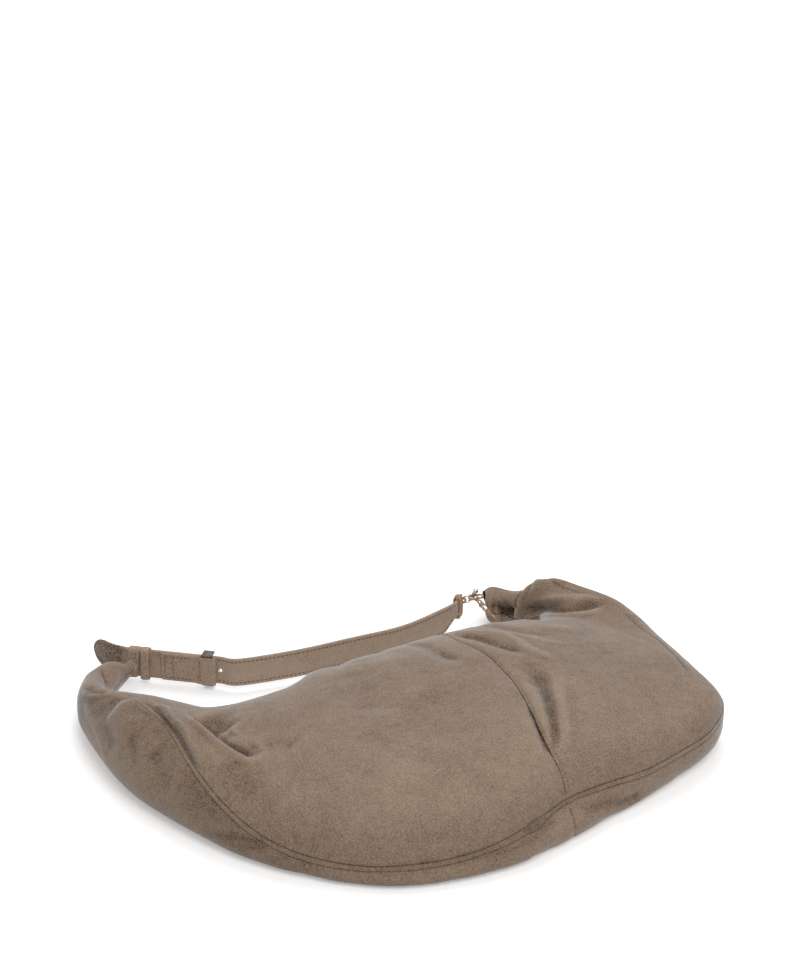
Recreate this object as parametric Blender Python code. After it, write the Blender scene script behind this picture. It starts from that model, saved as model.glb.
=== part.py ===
# Pouch bag: a soft crescent pouch of suede, zipped along its hollow edge and drawn in
# at both ends to necks that carry a flat shoulder strap with a buckle.
# Metres, +Z up. The bag lies on its back panels and the origin is on the floor under it.
# +X runs along the zip to the ring end, +Y points from the pouch to the strap.

import math

import bmesh
import bpy
import numpy as np
from mathutils import Vector

# Sizes of the pouch
half_width = 0.230
bag_depth = 0.250
bag_height = 0.074
belly_inset = 0.029
panel_thickness = 0.0018
lining_thickness = 0.0009
lining_clearance = 0.0008
touch_gap = 0.0003
welt_gap = 0.0008
welt_width = 0.0075
left_neck_radius = 0.0045
right_neck_radius = 0.0038

# Sizes of the zip
zip_end_gap = 0.0009
zip_opening = 0.0124
zip_fade = 0.022
tape_thickness = 0.0008
tape_tuck = 0.0050
tooth_pitch = 0.0040
tooth_length = 0.0014
tooth_height = 0.0024
tooth_depth = 0.0022
bead_height = 0.0009
slider_post = 0.0010
slider_clearance = 0.0003
slider_length = 0.0110
slider_width = 0.0080
slider_plate = 0.0012
stop_length = 0.0030
puller_length = 0.0120
puller_width = 0.0050
puller_wire = 0.0012
eye_turn = math.radians(330)
tab_length = 0.0360
tab_width = 0.0090
tab_thickness = 0.0018

# Sizes of the slip pocket on the lining
pocket_width = 0.110
pocket_depth = 0.085
pocket_thickness = 0.0008
pocket_x = -0.030
pocket_y = -0.020

# Sizes of the strap and of its buckle
strap_width = 0.025
strap_layer = 0.0011
strap_rest = 0.0050
strap_tail = 0.037
tail_sweep = 0.016
run_before = 0.021
run_after = 0.075
run_angle = math.radians(-40)
hole_radius = 0.0022
hole_pitch = 0.025
hole_count = 3
buckle_strap_thickness = 0.0012
flap_end = 0.0087
flap_rise = 0.0060
frame_middle = 0.0475
frame_width = 0.0090
frame_thickness = 0.0014
frame_overhang = 0.0004
pin_radius = 0.0008
pin_clearance = 0.0003
prong_thickness = 0.0008
prong_width = 0.0024
prong_reach = 0.0095
prong_tip = 0.0006
prong_turn = math.radians(300)
loop_thickness = 0.0013
loop_width = 0.0085
loop_middle = -0.0160
loop_clearance = 0.0004
keeper_width = 0.0070
keeper_middle = -0.0055
neck_tab_length = 0.0090
neck_tab_height = 0.0048

# Sizes of the ring, the laces and the charm
ring_radius = 0.0050
ring_wire = 0.0011
ring_lean = math.radians(30)
lace_radius = 0.0010
lace_half_width = 0.0031
lace_bend = 0.0020
lace_reach = 0.0150
strap_lace_reach = 0.0060
strap_end_gap = 0.0030
strap_end_turn = math.radians(45)
lace_knot_place = 0.0080
strap_end_height = 0.0150
strap_end_straight = 0.0160
strap_taper = 0.0200
wrap_turns = 3
wrap_pitch = 0.0025
wrap_inset = 0.0068
bead_radius = 0.0024
charm_knot_radius = 0.0026
charm_lace_radius = 0.0008
charm_spread = 0.0011
barrel_length = 0.0066
barrel_radius = 0.0026
charm_tail_length = 0.0080

# Places of the strap's run beside the left neck and of the ring, as shares
run_start_shares = (-0.602, 0.896)
ring_place_shares = (0.626, 0.784)

# The pouch from the left neck to the right one. Each row gives the outermost place in plan and
# the innermost one (x by half the width, y by the depth), the crown's height, its place from
# outside to inside, how square the curve over the zip is, the height of the outermost place,
# the inset and the height of the ledge over the belly, the place of the outer seam along the
# upper curve, and the lowest height.
station_shares = (
    (-0.774, 0.912, -0.732, 0.846, 0.40, 0.50, 2.1, 0.25, 0.00, 0.25, 0.55, 0.09),
    (-0.852, 0.872, -0.777, 0.800, 0.45, 0.50, 2.1, 0.26, 0.00, 0.26, 0.55, 0.06),
    (-0.914, 0.808, -0.816, 0.750, 0.50, 0.50, 2.1, 0.26, 0.00, 0.26, 0.55, 0.02),
    (-0.972, 0.700, -0.854, 0.674, 0.59, 0.50, 2.1, 0.25, 0.00, 0.25, 0.56, 0.00),
    (-0.990, 0.584, -0.822, 0.588, 0.66, 0.50, 2.1, 0.24, 0.00, 0.24, 0.56, 0.00),
    (-1.000, 0.472, -0.722, 0.504, 0.72, 0.47, 2.0, 0.24, 0.00, 0.24, 0.51, 0.00),
    (-1.000, 0.328, -0.617, 0.446, 0.73, 0.43, 1.9, 0.23, 0.00, 0.23, 0.54, 0.00),
    (-0.976, 0.172, -0.543, 0.414, 0.73, 0.42, 1.9, 0.22, 0.00, 0.22, 0.60, 0.00),
    (-0.900, -0.042, -0.435, 0.399, 0.79, 0.45, 2.2, 0.20, 0.00, 0.20, 0.80, 0.00),
    (-0.820, -0.210, -0.326, 0.396, 0.85, 0.46, 2.5, 0.17, 0.00, 0.17, 0.91, 0.00),
    (-0.712, -0.350, -0.217, 0.396, 0.91, 0.47, 2.8, 0.13, 0.07, 0.20, 0.98, 0.00),
    (-0.570, -0.486, -0.109, 0.396, 0.95, 0.46, 2.9, 0.11, 0.20, 0.19, 1.00, 0.00),
    (-0.413, -0.578, 0.000, 0.396, 0.98, 0.45, 3.0, 0.11, 0.30, 0.19, 1.00, 0.00),
    (-0.226, -0.625, 0.122, 0.396, 1.00, 0.45, 3.0, 0.11, 0.34, 0.22, 1.00, 0.00),
    (-0.035, -0.635, 0.217, 0.396, 1.01, 0.45, 3.1, 0.12, 0.50, 0.28, 1.00, 0.00),
    (0.174, -0.592, 0.296, 0.396, 1.01, 0.45, 3.1, 0.14, 0.62, 0.35, 1.00, 0.00),
    (0.339, -0.552, 0.391, 0.396, 1.00, 0.45, 3.1, 0.15, 0.37, 0.37, 1.00, 0.00),
    (0.500, -0.512, 0.478, 0.396, 0.96, 0.45, 3.1, 0.17, 0.08, 0.38, 1.00, 0.00),
    (0.655, -0.468, 0.565, 0.396, 0.90, 0.47, 3.1, 0.20, 0.00, 0.39, 1.00, 0.00),
    (0.828, -0.412, 0.639, 0.402, 0.84, 0.48, 3.1, 0.22, 0.00, 0.40, 1.00, 0.00),
    (0.954, -0.320, 0.687, 0.420, 0.78, 0.50, 3.1, 0.26, 0.00, 0.39, 0.98, 0.00),
    (0.984, -0.206, 0.717, 0.440, 0.75, 0.50, 3.0, 0.32, 0.00, 0.34, 0.92, 0.00),
    (0.998, 0.030, 0.743, 0.472, 0.75, 0.47, 2.8, 0.38, 0.00, 0.38, 0.88, 0.00),
    (1.013, 0.248, 0.757, 0.496, 0.79, 0.44, 2.6, 0.40, 0.00, 0.40, 0.86, 0.00),
    (0.962, 0.400, 0.757, 0.520, 0.79, 0.45, 2.5, 0.36, 0.00, 0.36, 0.83, 0.00),
    (0.887, 0.520, 0.748, 0.556, 0.80, 0.46, 2.4, 0.28, 0.00, 0.28, 0.76, 0.00),
    (0.848, 0.612, 0.730, 0.596, 0.60, 0.48, 2.2, 0.23, 0.00, 0.23, 0.70, 0.00),
    (0.796, 0.708, 0.696, 0.652, 0.44, 0.50, 2.1, 0.22, 0.00, 0.22, 0.65, 0.00),
    (0.748, 0.788, 0.665, 0.712, 0.42, 0.50, 2.1, 0.23, 0.00, 0.23, 0.60, 0.04),
)
centre_seam_row = 16
zip_first_row = 10
zip_last_row = 18
zip_line_share = 0.396
zip_height_share = 0.2905
ring_height_share = 0.2973
lining_first_row = 6
lining_last_row = 26
left_fine_rows = 9
right_fine_rows = 9
front_columns = 13
back_steps = (4, 3, 2, 3, 1)
least_side_share = 0.3
neck_curve_share = 2.1
front_curve_share = 2.4
lower_curve_share = 2.1
toe_share = 1.3
heel_share = 1.2
round_limit_share = 0.46
front_crowding_share = 1.35
narrow_welt_share = 0.25
narrow_tuck_share = 0.2
strap_route_shares = ((-0.135, 0.671), (0.060, 0.664), (0.263, 0.658), (0.420, 0.690))
charm_route_shares = ((0.652, 0.724), (0.652, 0.690), (0.660, 0.656))
charm_height_shares = (0.290, 0.272, 0.240)
tip_crown_share = 0.50
tip_seam_share = 0.55
run_bend_share = 0.8
tail_reach_share = 1.4
tail_sweep_share = 2.6
tail_tip_share = 0.3
puller_stand_share = 1.75
strand_bow_share = 1.5
wrap_square_share = 0.5
dense_steps = 28


# The zip lies along the innermost places of the pouch, from one row of the table to another
zip_start = station_shares[zip_first_row][2] * half_width + zip_end_gap
zip_end = station_shares[zip_last_row][2] * half_width - zip_end_gap
zip_length = zip_end - zip_start
zip_middle_x = (zip_start + zip_end) / 2
zip_line_y = zip_line_share * bag_depth
zip_height = zip_height_share * bag_height
ring_height = ring_height_share * bag_height


# Colours, as red, green, blue, and each surface's roughness and metallic value
finishes = {
    "suede": ((0.258, 0.190, 0.142), 0.92, 0.0),
    "strap_suede": ((0.262, 0.196, 0.149), 0.90, 0.0),
    "lining": ((0.180, 0.150, 0.120), 0.80, 0.0),
    "tape": ((0.130, 0.105, 0.085), 0.75, 0.0),
    "nickel": ((0.560, 0.550, 0.530), 0.28, 1.0),
    "lace": ((0.410, 0.250, 0.150), 0.65, 0.0),
}


def clear_scene():
    for item in list(bpy.data.objects):
        bpy.data.objects.remove(item, do_unlink=True)


def finish_material(node, finish):
    colour, roughness, metallic = finishes[finish]
    material = bpy.data.materials.new(node)
    material.use_nodes = True
    shader = material.node_tree.nodes["Principled BSDF"]
    shader.inputs["Base Color"].default_value = (*colour, 1.0)
    shader.inputs["Roughness"].default_value = roughness
    shader.inputs["Metallic"].default_value = metallic
    return material


# One object from points and faces, its origin on its joint's axis where it has one
def make_object(node, points, faces, finish, origin=(0.0, 0.0, 0.0)):
    mesh = bpy.data.meshes.new(node)
    centre = Vector(origin)
    mesh.from_pydata([Vector(point) - centre for point in points], [], faces)
    work = bmesh.new()
    work.from_mesh(mesh)
    bmesh.ops.recalc_face_normals(work, faces=work.faces)
    work.to_mesh(mesh)
    work.free()
    mesh.shade_smooth()
    mesh.set_sharp_from_angle(angle=math.radians(35))
    item = bpy.data.objects.new(node, mesh)
    item.location = centre
    bpy.context.scene.collection.objects.link(item)
    item.data.materials.append(finish_material(node, finish))
    return item


def grid_faces(rows, columns, first, flip):
    faces = []
    for row in range(rows - 1):
        for column in range(columns - 1):
            a = first + row * columns + column
            b = a + 1
            c = a + columns + 1
            d = a + columns
            pair = [(a, b, c), (a, c, d)]
            faces += [face[::-1] for face in pair] if flip else pair
    return faces


# A closed sheet between an outer and an inner grid of points
def sheet_object(node, outer, inner, finish, origin=(0.0, 0.0, 0.0)):
    rows, columns = outer.shape[:2]
    points = [tuple(p) for p in outer.reshape(-1, 3)] + [tuple(p) for p in inner.reshape(-1, 3)]
    count = rows * columns
    faces = grid_faces(rows, columns, 0, False) + grid_faces(rows, columns, count, True)
    rim = [column for column in range(columns)]
    rim += [row * columns + columns - 1 for row in range(1, rows)]
    rim += [(rows - 1) * columns + column for column in range(columns - 2, -1, -1)]
    rim += [row * columns for row in range(rows - 2, 0, -1)]
    for place, start in enumerate(rim):
        end = rim[(place + 1) % len(rim)]
        faces.append((start, start + count, end + count, end))
    return make_object(node, points, faces, finish, origin)


# A closed solid that joins rings of points, its ends filled unless it runs round
def ring_solid(rings, runs_round=False):
    points = [tuple(point) for ring in rings for point in ring]
    count = len(rings[0])
    faces = []
    last = len(rings) if runs_round else len(rings) - 1
    for row in range(last):
        after = (row + 1) % len(rings)
        for side in range(count):
            beside = (side + 1) % count
            faces.append((row * count + side, row * count + beside,
                          after * count + beside, after * count + side))
    if not runs_round:
        faces.append(tuple(range(count))[::-1])
        faces.append(tuple((len(rings) - 1) * count + side for side in range(count)))
    return points, faces


def joined(solids):
    points = []
    faces = []
    for some_points, some_faces in solids:
        first = len(points)
        points += some_points
        faces += [tuple(first + corner for corner in face) for face in some_faces]
    return points, faces


def box_solid(low, high):
    (x0, y0, z0), (x1, y1, z1) = low, high
    lower = [(x0, y0, z0), (x1, y0, z0), (x1, y1, z0), (x0, y1, z0)]
    upper = [(x0, y0, z1), (x1, y0, z1), (x1, y1, z1), (x0, y1, z1)]
    return ring_solid([lower, upper])


# A round rod swept along points, with its radius at each point
def rod_solid(route, radii, sides=8, runs_round=False):
    route = [Vector(point) for point in route]
    radii = radii if isinstance(radii, (list, tuple)) else [radii] * len(route)
    count = len(route)
    rings = []
    across = None
    for place, point in enumerate(route):
        before = route[(place - 1) % count] if runs_round or place > 0 else point
        after = route[(place + 1) % count] if runs_round or place < count - 1 else point
        along = (after - before).normalized()
        if across is None:
            across = along.orthogonal().normalized()
        across = (across - along * across.dot(along)).normalized()
        beside = along.cross(across)
        ring = []
        for side in range(sides):
            turn = math.tau * side / sides
            ring.append(point + (across * math.cos(turn) + beside * math.sin(turn)) * radii[place])
        rings.append(ring)
    return ring_solid(rings, runs_round)


# Smooth values between the rows of a table, read at a place along it
def smooth_row(rows, place):
    last = len(rows) - 1
    low = min(max(int(place), 0), last - 1)
    part = place - low
    a, b, c, d = (rows[min(max(low + step, 0), last)] for step in (-1, 0, 1, 2))
    return 0.5 * (2 * b + (c - a) * part + (2 * a - 5 * b + 4 * c - d) * part ** 2
                  + (3 * b - 3 * c + d - a) * part ** 3)


# Places beside the straight run of the strap: along it, away from the pouch, and up
run_start = Vector((run_start_shares[0] * half_width, run_start_shares[1] * bag_depth, 0.0))
run_along = Vector((math.cos(run_angle), math.sin(run_angle), 0.0))
run_away = Vector((-run_along.y, run_along.x, 0.0))
strap_half = strap_layer + touch_gap / 2
strap_middle_z = strap_rest + strap_width / 2


def run_point(along, away, height):
    return run_start + run_along * along + run_away * away + Vector((0.0, 0.0, height))


# The left neck's tip stands off the loop that holds the strap, the right one off the ring,
# and the strap lifts about the line between them
loop_near = strap_half + touch_gap + buckle_strap_thickness + loop_clearance
neck_pivot = run_point(loop_middle, -(loop_near + loop_thickness + neck_tab_length), strap_middle_z)
ring_centre = Vector((ring_place_shares[0] * half_width, ring_place_shares[1] * bag_depth,
                      ring_height))
lift_axis = (ring_centre - neck_pivot).normalized()
lift_side = Vector((-lift_axis.y, lift_axis.x, 0.0)).normalized()
lift_up = lift_axis.cross(lift_side)


def ring_point(along, aside, up):
    return ring_centre + lift_axis * along + lift_side * aside + lift_up * up


# Rows of the pouch in metres, with a small ring of the neck added at each tip
def station_rows():
    scale = np.array([half_width, bag_depth, half_width, bag_depth, bag_height, 1.0, 1.0,
                      bag_height, belly_inset, bag_height, 1.0, bag_height])
    rows = [np.array(shares) * scale for shares in station_shares]
    tip = neck_pivot - run_away * (neck_tab_height / 2 + touch_gap)
    outside = tip - run_along * left_neck_radius
    inside = tip + run_along * left_neck_radius
    left = np.array([outside.x, outside.y, inside.x, inside.y, tip.z + left_neck_radius,
                     tip_crown_share, neck_curve_share, tip.z, 0.0, tip.z, tip_seam_share,
                     tip.z - left_neck_radius])
    tip = ring_point(lace_reach + lace_radius + touch_gap, 0.0, 0.0)
    outside = tip + lift_side * right_neck_radius
    inside = tip - lift_side * right_neck_radius
    right = np.array([outside.x, outside.y, inside.x, inside.y, tip.z + right_neck_radius,
                      tip_crown_share, neck_curve_share, tip.z, 0.0, tip.z, tip_seam_share,
                      tip.z - right_neck_radius])
    return [left] + rows + [right]


pouch_rows = station_rows()
seam_place = float(centre_seam_row)


def quarter(steps):
    return [math.pi / 2 * step / steps for step in range(1, steps + 1)]


# The closed curve round the pouch at one place: points outward from the outermost place and
# up, from the zip's upper edge over the crown and round below to its lower edge. Its marks are
# how far along it lie the outer seam, the lowest place of the side, and both ends of the floor.
def section_curve(place):
    row = smooth_row(pouch_rows, place)
    ox, oy, ix, iy, top, crown, upper_curve, side, inset, ledge, seam, low = row
    low = max(low, 0.0)
    span = math.hypot(ix - ox, iy - oy)
    from_end = zip_length / 2 - abs(ix - zip_middle_x)
    opened = min(max(1 + from_end / zip_fade, 0.0), 1.0) if abs(iy - zip_line_y) < zip_fade else 0.0
    opened = opened * opened * (3 - 2 * opened)
    middle = side + (zip_height - side) * opened
    half_gap = touch_gap + (zip_opening / 2 - touch_gap) * opened
    stand = (tape_tuck + 2 * touch_gap) * opened
    crown_at = span * crown
    upper = middle + half_gap + stand
    lower = middle - half_gap - stand
    points = [(span, middle + half_gap)]
    if opened > 0:
        points.append((span, upper))
    for turn in quarter(dense_steps):
        points.append((crown_at + (span - crown_at) * max(math.cos(turn), 0) ** (2 / upper_curve),
                       upper + (top - upper) * math.sin(turn) ** (2 / upper_curve)))
    for turn in quarter(dense_steps):
        points.append((crown_at - (crown_at - inset) * math.sin(turn) ** (2 / front_curve_share),
                       ledge + (top - ledge) * max(math.cos(turn), 0) ** (2 / front_curve_share)))
    upper_count = len(points)
    if inset > touch_gap:
        for turn in quarter(dense_steps // 2):
            points.append((inset * (1 - math.sin(turn) ** (2 / lower_curve_share)),
                           side + (ledge - side) * max(math.cos(turn), 0) ** (2 / lower_curve_share)))
    elif ledge - side > touch_gap:
        points.append((inset, side))
    side_count = len(points)
    toe = min(span * round_limit_share, (side - low) * toe_share)
    heel = min(span * round_limit_share, (lower - low) * heel_share)
    for turn in quarter(dense_steps // 2):
        points.append((toe * (1 - max(math.cos(turn), 0) ** (2 / lower_curve_share)),
                       low + (side - low) * (1 - math.sin(turn) ** (2 / lower_curve_share))))
    toe_count = len(points)
    points.append((span - heel, low))
    for turn in quarter(dense_steps // 2):
        points.append((span - heel + heel * math.sin(turn) ** (2 / lower_curve_share),
                       low + (lower - low) * (1 - max(math.cos(turn), 0) ** (2 / lower_curve_share))))
    if opened > 0:
        points.append((span, middle - half_gap))
    points = np.array(points)
    steps = np.hypot(*np.diff(points, axis=0).T)
    lengths = np.concatenate([[0.0], np.cumsum(steps)])
    marks = [lengths[upper_count - 1] * seam]
    marks += [lengths[count - 1] for count in (side_count, toe_count, toe_count + 1)]
    outer = np.array([ox, oy])
    inner = np.array([ix, iy])
    return points, lengths, marks, outer, (inner - outer) / span


def stretches(ends, steps):
    places = [ends[0]]
    for start, end, count in zip(ends, ends[1:], steps):
        places += [start + (end - start) * (step + 1) / count for step in range(count)]
    return places


# Places along the curve where each piece has its columns of points
def piece_columns(piece, marks, total):
    seam_at, side_at, toe_at, heel_at = marks
    half_welt = min(welt_width / 2, seam_at * narrow_welt_share)
    front_end = seam_at - half_welt - welt_gap
    back_start = seam_at + half_welt + welt_gap
    tuck = min(tape_tuck + 2 * touch_gap, front_end * narrow_tuck_share)
    shares = [1 - (1 - step / (front_columns - 1)) ** front_crowding_share
              for step in range(front_columns)]
    front = [0.0] + [tuck + (front_end - tuck) * share for share in shares]
    side_at = max(side_at, back_start + (toe_at - back_start) * least_side_share)
    back = stretches([back_start, side_at, toe_at, heel_at, total - tuck, total], back_steps)
    if piece == "front_panel":
        return front
    if piece == "back_panel":
        return back
    if piece == "welt":
        return [seam_at - half_welt, seam_at, seam_at + half_welt]
    if piece == "front_lining":
        return front[1:] + [seam_at - touch_gap]
    return [seam_at + touch_gap] + back[:-1]


def pouch_points(place, piece):
    points, lengths, marks, outer, inward = section_curve(place)
    columns = piece_columns(piece, marks, lengths[-1])
    across = np.interp(columns, lengths, points[:, 0])
    height = np.interp(columns, lengths, points[:, 1])
    return np.column_stack([outer[0] + inward[0] * across, outer[1] + inward[1] * across, height])


def pouch_tangents(place, piece):
    points, lengths, marks, _, inward = section_curve(place)
    columns = np.array(piece_columns(piece, marks, lengths[-1]))
    reach = welt_width / 2
    before = (columns - reach) % lengths[-1]
    after = (columns + reach) % lengths[-1]
    across = np.interp(after, lengths, points[:, 0]) - np.interp(before, lengths, points[:, 0])
    height = np.interp(after, lengths, points[:, 1]) - np.interp(before, lengths, points[:, 1])
    return np.column_stack([inward[0] * across, inward[1] * across, height])


# Rows of points on the pouch's skin, sunk below it by a depth
def pouch_grid(piece, places, depth, probe_share=0.06):
    grid = []
    last = len(pouch_rows) - 1
    for place in places:
        here = pouch_points(place, piece)
        if depth:
            ahead = pouch_points(min(place + probe_share, last), piece)
            behind = pouch_points(max(place - probe_share, 0.0), piece)
            normal = np.cross(pouch_tangents(place, piece), ahead - behind)
            normal /= np.linalg.norm(normal, axis=1)[:, None]
            here = here - normal * depth
            here[:, 2] = np.maximum(here[:, 2], 0.0)
        grid.append(here)
    return np.array(grid)


# Every row of the table, with one more between the rows where the pouch turns sharply
def row_places(first, last, first_fine, last_fine):
    places = []
    for row in range(first, last):
        places.append(float(row))
        if first_fine <= row < last_fine:
            places.append(row + 0.5)
    return places + [float(last)]


# The right panels stop short of the centre seam by the gap between touching pieces
def seam_offset():
    left = pouch_points(seam_place, "welt")[1]
    right = pouch_points(seam_place + 1, "welt")[1]
    inner_left = pouch_points(seam_place, "front_panel")[0]
    inner_right = pouch_points(seam_place + 1, "front_panel")[0]
    spacing = min(np.linalg.norm(right - left), np.linalg.norm(inner_right - inner_left))
    return touch_gap * 1.5 / spacing


def panel_places():
    last = len(pouch_rows) - 1
    left = row_places(0, centre_seam_row, 0, left_fine_rows)
    right = row_places(centre_seam_row, last, last - right_fine_rows, last)
    right[0] += seam_offset()
    return left, right


def make_panels():
    left, right = panel_places()
    for side, places in (("left", left), ("right", right)):
        for piece in ("front_panel", "back_panel"):
            outer = pouch_grid(piece, places, 0.0)
            inner = pouch_grid(piece, places, panel_thickness)
            sheet_object(f"{piece}_{side}", outer, inner, "suede")
    whole = (left + right)[1:-1]
    sheet_object("outer_seam_strip", pouch_grid("welt", whole, 0.0),
                 pouch_grid("welt", whole, panel_thickness), "suede")


def make_linings():
    depth = panel_thickness + lining_clearance
    left, right = panel_places()
    places = [place for place in left + right if lining_first_row <= place <= lining_last_row]
    for node, piece in (("lining_front", "front_lining"), ("lining_back", "back_lining")):
        outer = pouch_grid(piece, places, depth)
        inner = pouch_grid(piece, places, depth + lining_thickness)
        sheet_object(node, outer, inner, "lining")
    floor = panel_thickness + lining_clearance + lining_thickness + touch_gap
    low = (pocket_x - pocket_width / 2, pocket_y - pocket_depth / 2, floor)
    high = (pocket_x + pocket_width / 2, pocket_y + pocket_depth / 2, floor + pocket_thickness)
    make_object("slip_pocket", *box_solid(low, high), "lining")


# A flat ribbon on edge: points in plan, a thickness, and its lower and upper height
def ribbon_solid(route, thickness, low, high, runs_round=False):
    count = len(route)
    low = low if isinstance(low, list) else [low] * count
    high = high if isinstance(high, list) else [high] * count
    rings = []
    for place in range(count):
        here = Vector(route[place])
        before = Vector(route[(place - 1) % count]) if runs_round or place > 0 else None
        after = Vector(route[(place + 1) % count]) if runs_round or place < count - 1 else None
        arriving = (here - before).normalized() if before is not None else None
        leaving = (after - here).normalized() if after is not None else None
        arriving = arriving if arriving is not None else leaving
        leaving = leaving if leaving is not None else arriving
        along = (arriving + leaving).normalized()
        beside = Vector((-along.y, along.x)) * thickness / 2 / max(along.dot(arriving), 0.5)
        left = here + beside
        right = here - beside
        rings.append([(left.x, left.y, low[place]), (right.x, right.y, low[place]),
                      (right.x, right.y, high[place]), (left.x, left.y, high[place])])
    return ring_solid(rings, runs_round)


def placed(solid, placer):
    points, faces = solid
    return [placer(*point) for point in points], faces


def rounded_loop(x0, x1, y0, y1, radius, steps=3):
    corners = ((x1 - radius, y1 - radius, 0), (x0 + radius, y1 - radius, 1),
               (x0 + radius, y0 + radius, 2), (x1 - radius, y0 + radius, 3))
    points = []
    for x, y, quarter_turn in corners:
        for step in range(steps + 1):
            turn = math.pi / 2 * (quarter_turn + step / steps)
            points.append((x + radius * math.cos(turn), y + radius * math.sin(turn)))
    return points


def stadium(reach_low, reach_high, half, place, steps=6):
    points = []
    for step in range(steps + 1):
        turn = math.pi * step / steps - math.pi / 2
        points.append(place(reach_high - half + half * math.cos(turn), half * math.sin(turn)))
    for step in range(steps + 1):
        turn = math.pi * step / steps + math.pi / 2
        points.append(place(reach_low + half + half * math.cos(turn), half * math.sin(turn)))
    return points


def ball_solid(centre, radius, sides=10, rings=7, stretch=1.0):
    centre = Vector(centre)
    route = []
    radii = []
    for step in range(rings):
        turn = math.pi * (step + 0.5) / rings
        route.append(centre - Vector((0.0, 0.0, radius * stretch * math.cos(turn))))
        radii.append(radius * math.sin(turn))
    return rod_solid(route, radii, sides)


# The zip: two tapes behind the panels' edges, two rows of teeth, and a stop at each end
tape_front_y = zip_line_y - panel_thickness - touch_gap
tape_middle_y = tape_front_y - tape_thickness / 2
channel_half = slider_post / 2 + slider_clearance
tooth_top = channel_half + tooth_height
tape_near = tooth_top + touch_gap
tape_far = zip_opening / 2 + tape_tuck


def make_zip():
    for node, side in (("front", 1), ("back", -1)):
        heights = sorted((zip_height + side * tape_near, zip_height + side * tape_far))
        low = (zip_start, tape_front_y - tape_thickness, heights[0])
        high = (zip_end, tape_front_y, heights[1])
        make_object(f"zip_tape_{node}", *box_solid(low, high), "tape")
        # Each tooth stands on the bead along the tape's edge
        levels = [zip_height + side * level for level in (channel_half, tooth_top - bead_height, tooth_top)]
        first = zip_start + stop_length + touch_gap
        count = int((zip_length - 2 * (stop_length + touch_gap)) / tooth_pitch)
        outline = []
        for tooth in range(count):
            left = first + tooth * tooth_pitch
            outline += [(left, levels[0]), (left + tooth_length, levels[0]),
                        (left + tooth_length, levels[1]), (left + tooth_pitch, levels[1])]
        outline += [(first + count * tooth_pitch, levels[2]), (first, levels[2])]
        rings = []
        for y in (tape_middle_y - tooth_depth / 2, tape_middle_y + tooth_depth / 2):
            rings.append([(x, y, z) for x, z in outline])
        make_object(f"zip_teeth_{node}", *ring_solid(rings), "nickel")
    for node, left in (("left", zip_start), ("right", zip_end - stop_length)):
        low = (left, tape_middle_y - tooth_depth / 2, zip_height - tooth_top)
        high = (left + stop_length, tape_middle_y + tooth_depth / 2, zip_height + tooth_top)
        make_object(f"zip_stop_{node}", *box_solid(low, high), "nickel")


# The slider has a plate on each side of the teeth and a post between the two rows
slider_middle = zip_end - stop_length - touch_gap - slider_length / 2
plate_near = tooth_depth / 2 + slider_clearance
plate_far = plate_near + slider_plate
puller_stand = puller_wire * puller_stand_share + pin_clearance * 2
puller_pin = (slider_middle, tape_middle_y + plate_far + puller_stand)


def make_slider():
    half = slider_width / 2
    outline = [(-half, plate_near), (-slider_post / 2, plate_near),
               (-slider_post / 2, -plate_near), (-half, -plate_near), (-half, -plate_far),
               (half, -plate_far), (half, -plate_near), (slider_post / 2, -plate_near),
               (slider_post / 2, plate_near), (half, plate_near), (half, plate_far),
               (-half, plate_far)]
    rings = []
    for x in (slider_middle - slider_length / 2, slider_middle + slider_length / 2):
        rings.append([(x, tape_middle_y + y, zip_height + z) for z, y in outline])
    make_object("zip_slider", *ring_solid(rings), "nickel", (slider_middle, tape_middle_y, zip_height))
    reach = puller_width / 2 + touch_gap + pin_radius
    foot = tape_middle_y + plate_far + touch_gap
    bail = [(foot, -reach), (puller_pin[1], -reach), (puller_pin[1], reach), (foot, reach)]
    route = [(slider_middle, y, zip_height + z) for y, z in bail]
    make_object("slider_bail", *rod_solid(route, pin_radius, 8), "nickel",
                (slider_middle, tape_middle_y, zip_height))


# The puller turns on the bail's upright pin, and a suede tab is fixed to its end
def make_puller():
    radius = pin_radius + pin_clearance + puller_wire / 2
    centre = Vector(puller_pin)
    route = []
    steps = 10
    for step in range(steps + 1):
        turn = math.pi / 2 - eye_turn * (1 - step / steps)
        route.append(centre + Vector((math.cos(turn), math.sin(turn))) * radius)
    start = centre + Vector((0.0, radius))
    route.append(start - Vector((radius, 0.0)))
    route.append(start - Vector((puller_length, 0.0)))
    low = zip_height - puller_width / 2
    high = zip_height + puller_width / 2
    origin = (*puller_pin, zip_height)
    make_object("zip_puller", *ribbon_solid(route, puller_wire, low, high), "nickel", origin)
    tab_start = start - Vector((puller_length + touch_gap, 0.0))
    tab = []
    lows = []
    highs = []
    along_shares = (0.0, 0.02, 0.08, 0.92, 0.98, 1.0)
    wide_shares = (0.70, 0.90, 1.0, 1.0, 0.90, 0.62)
    for along, wide in zip(along_shares, wide_shares):
        tab.append(tab_start - Vector((tab_length * along, 0.0)))
        lows.append(zip_height - tab_width / 2 * wide)
        highs.append(zip_height + tab_width / 2 * wide)
    make_object("puller_tab", *ribbon_solid(tab, tab_thickness, lows, highs), "strap_suede", origin)


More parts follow.
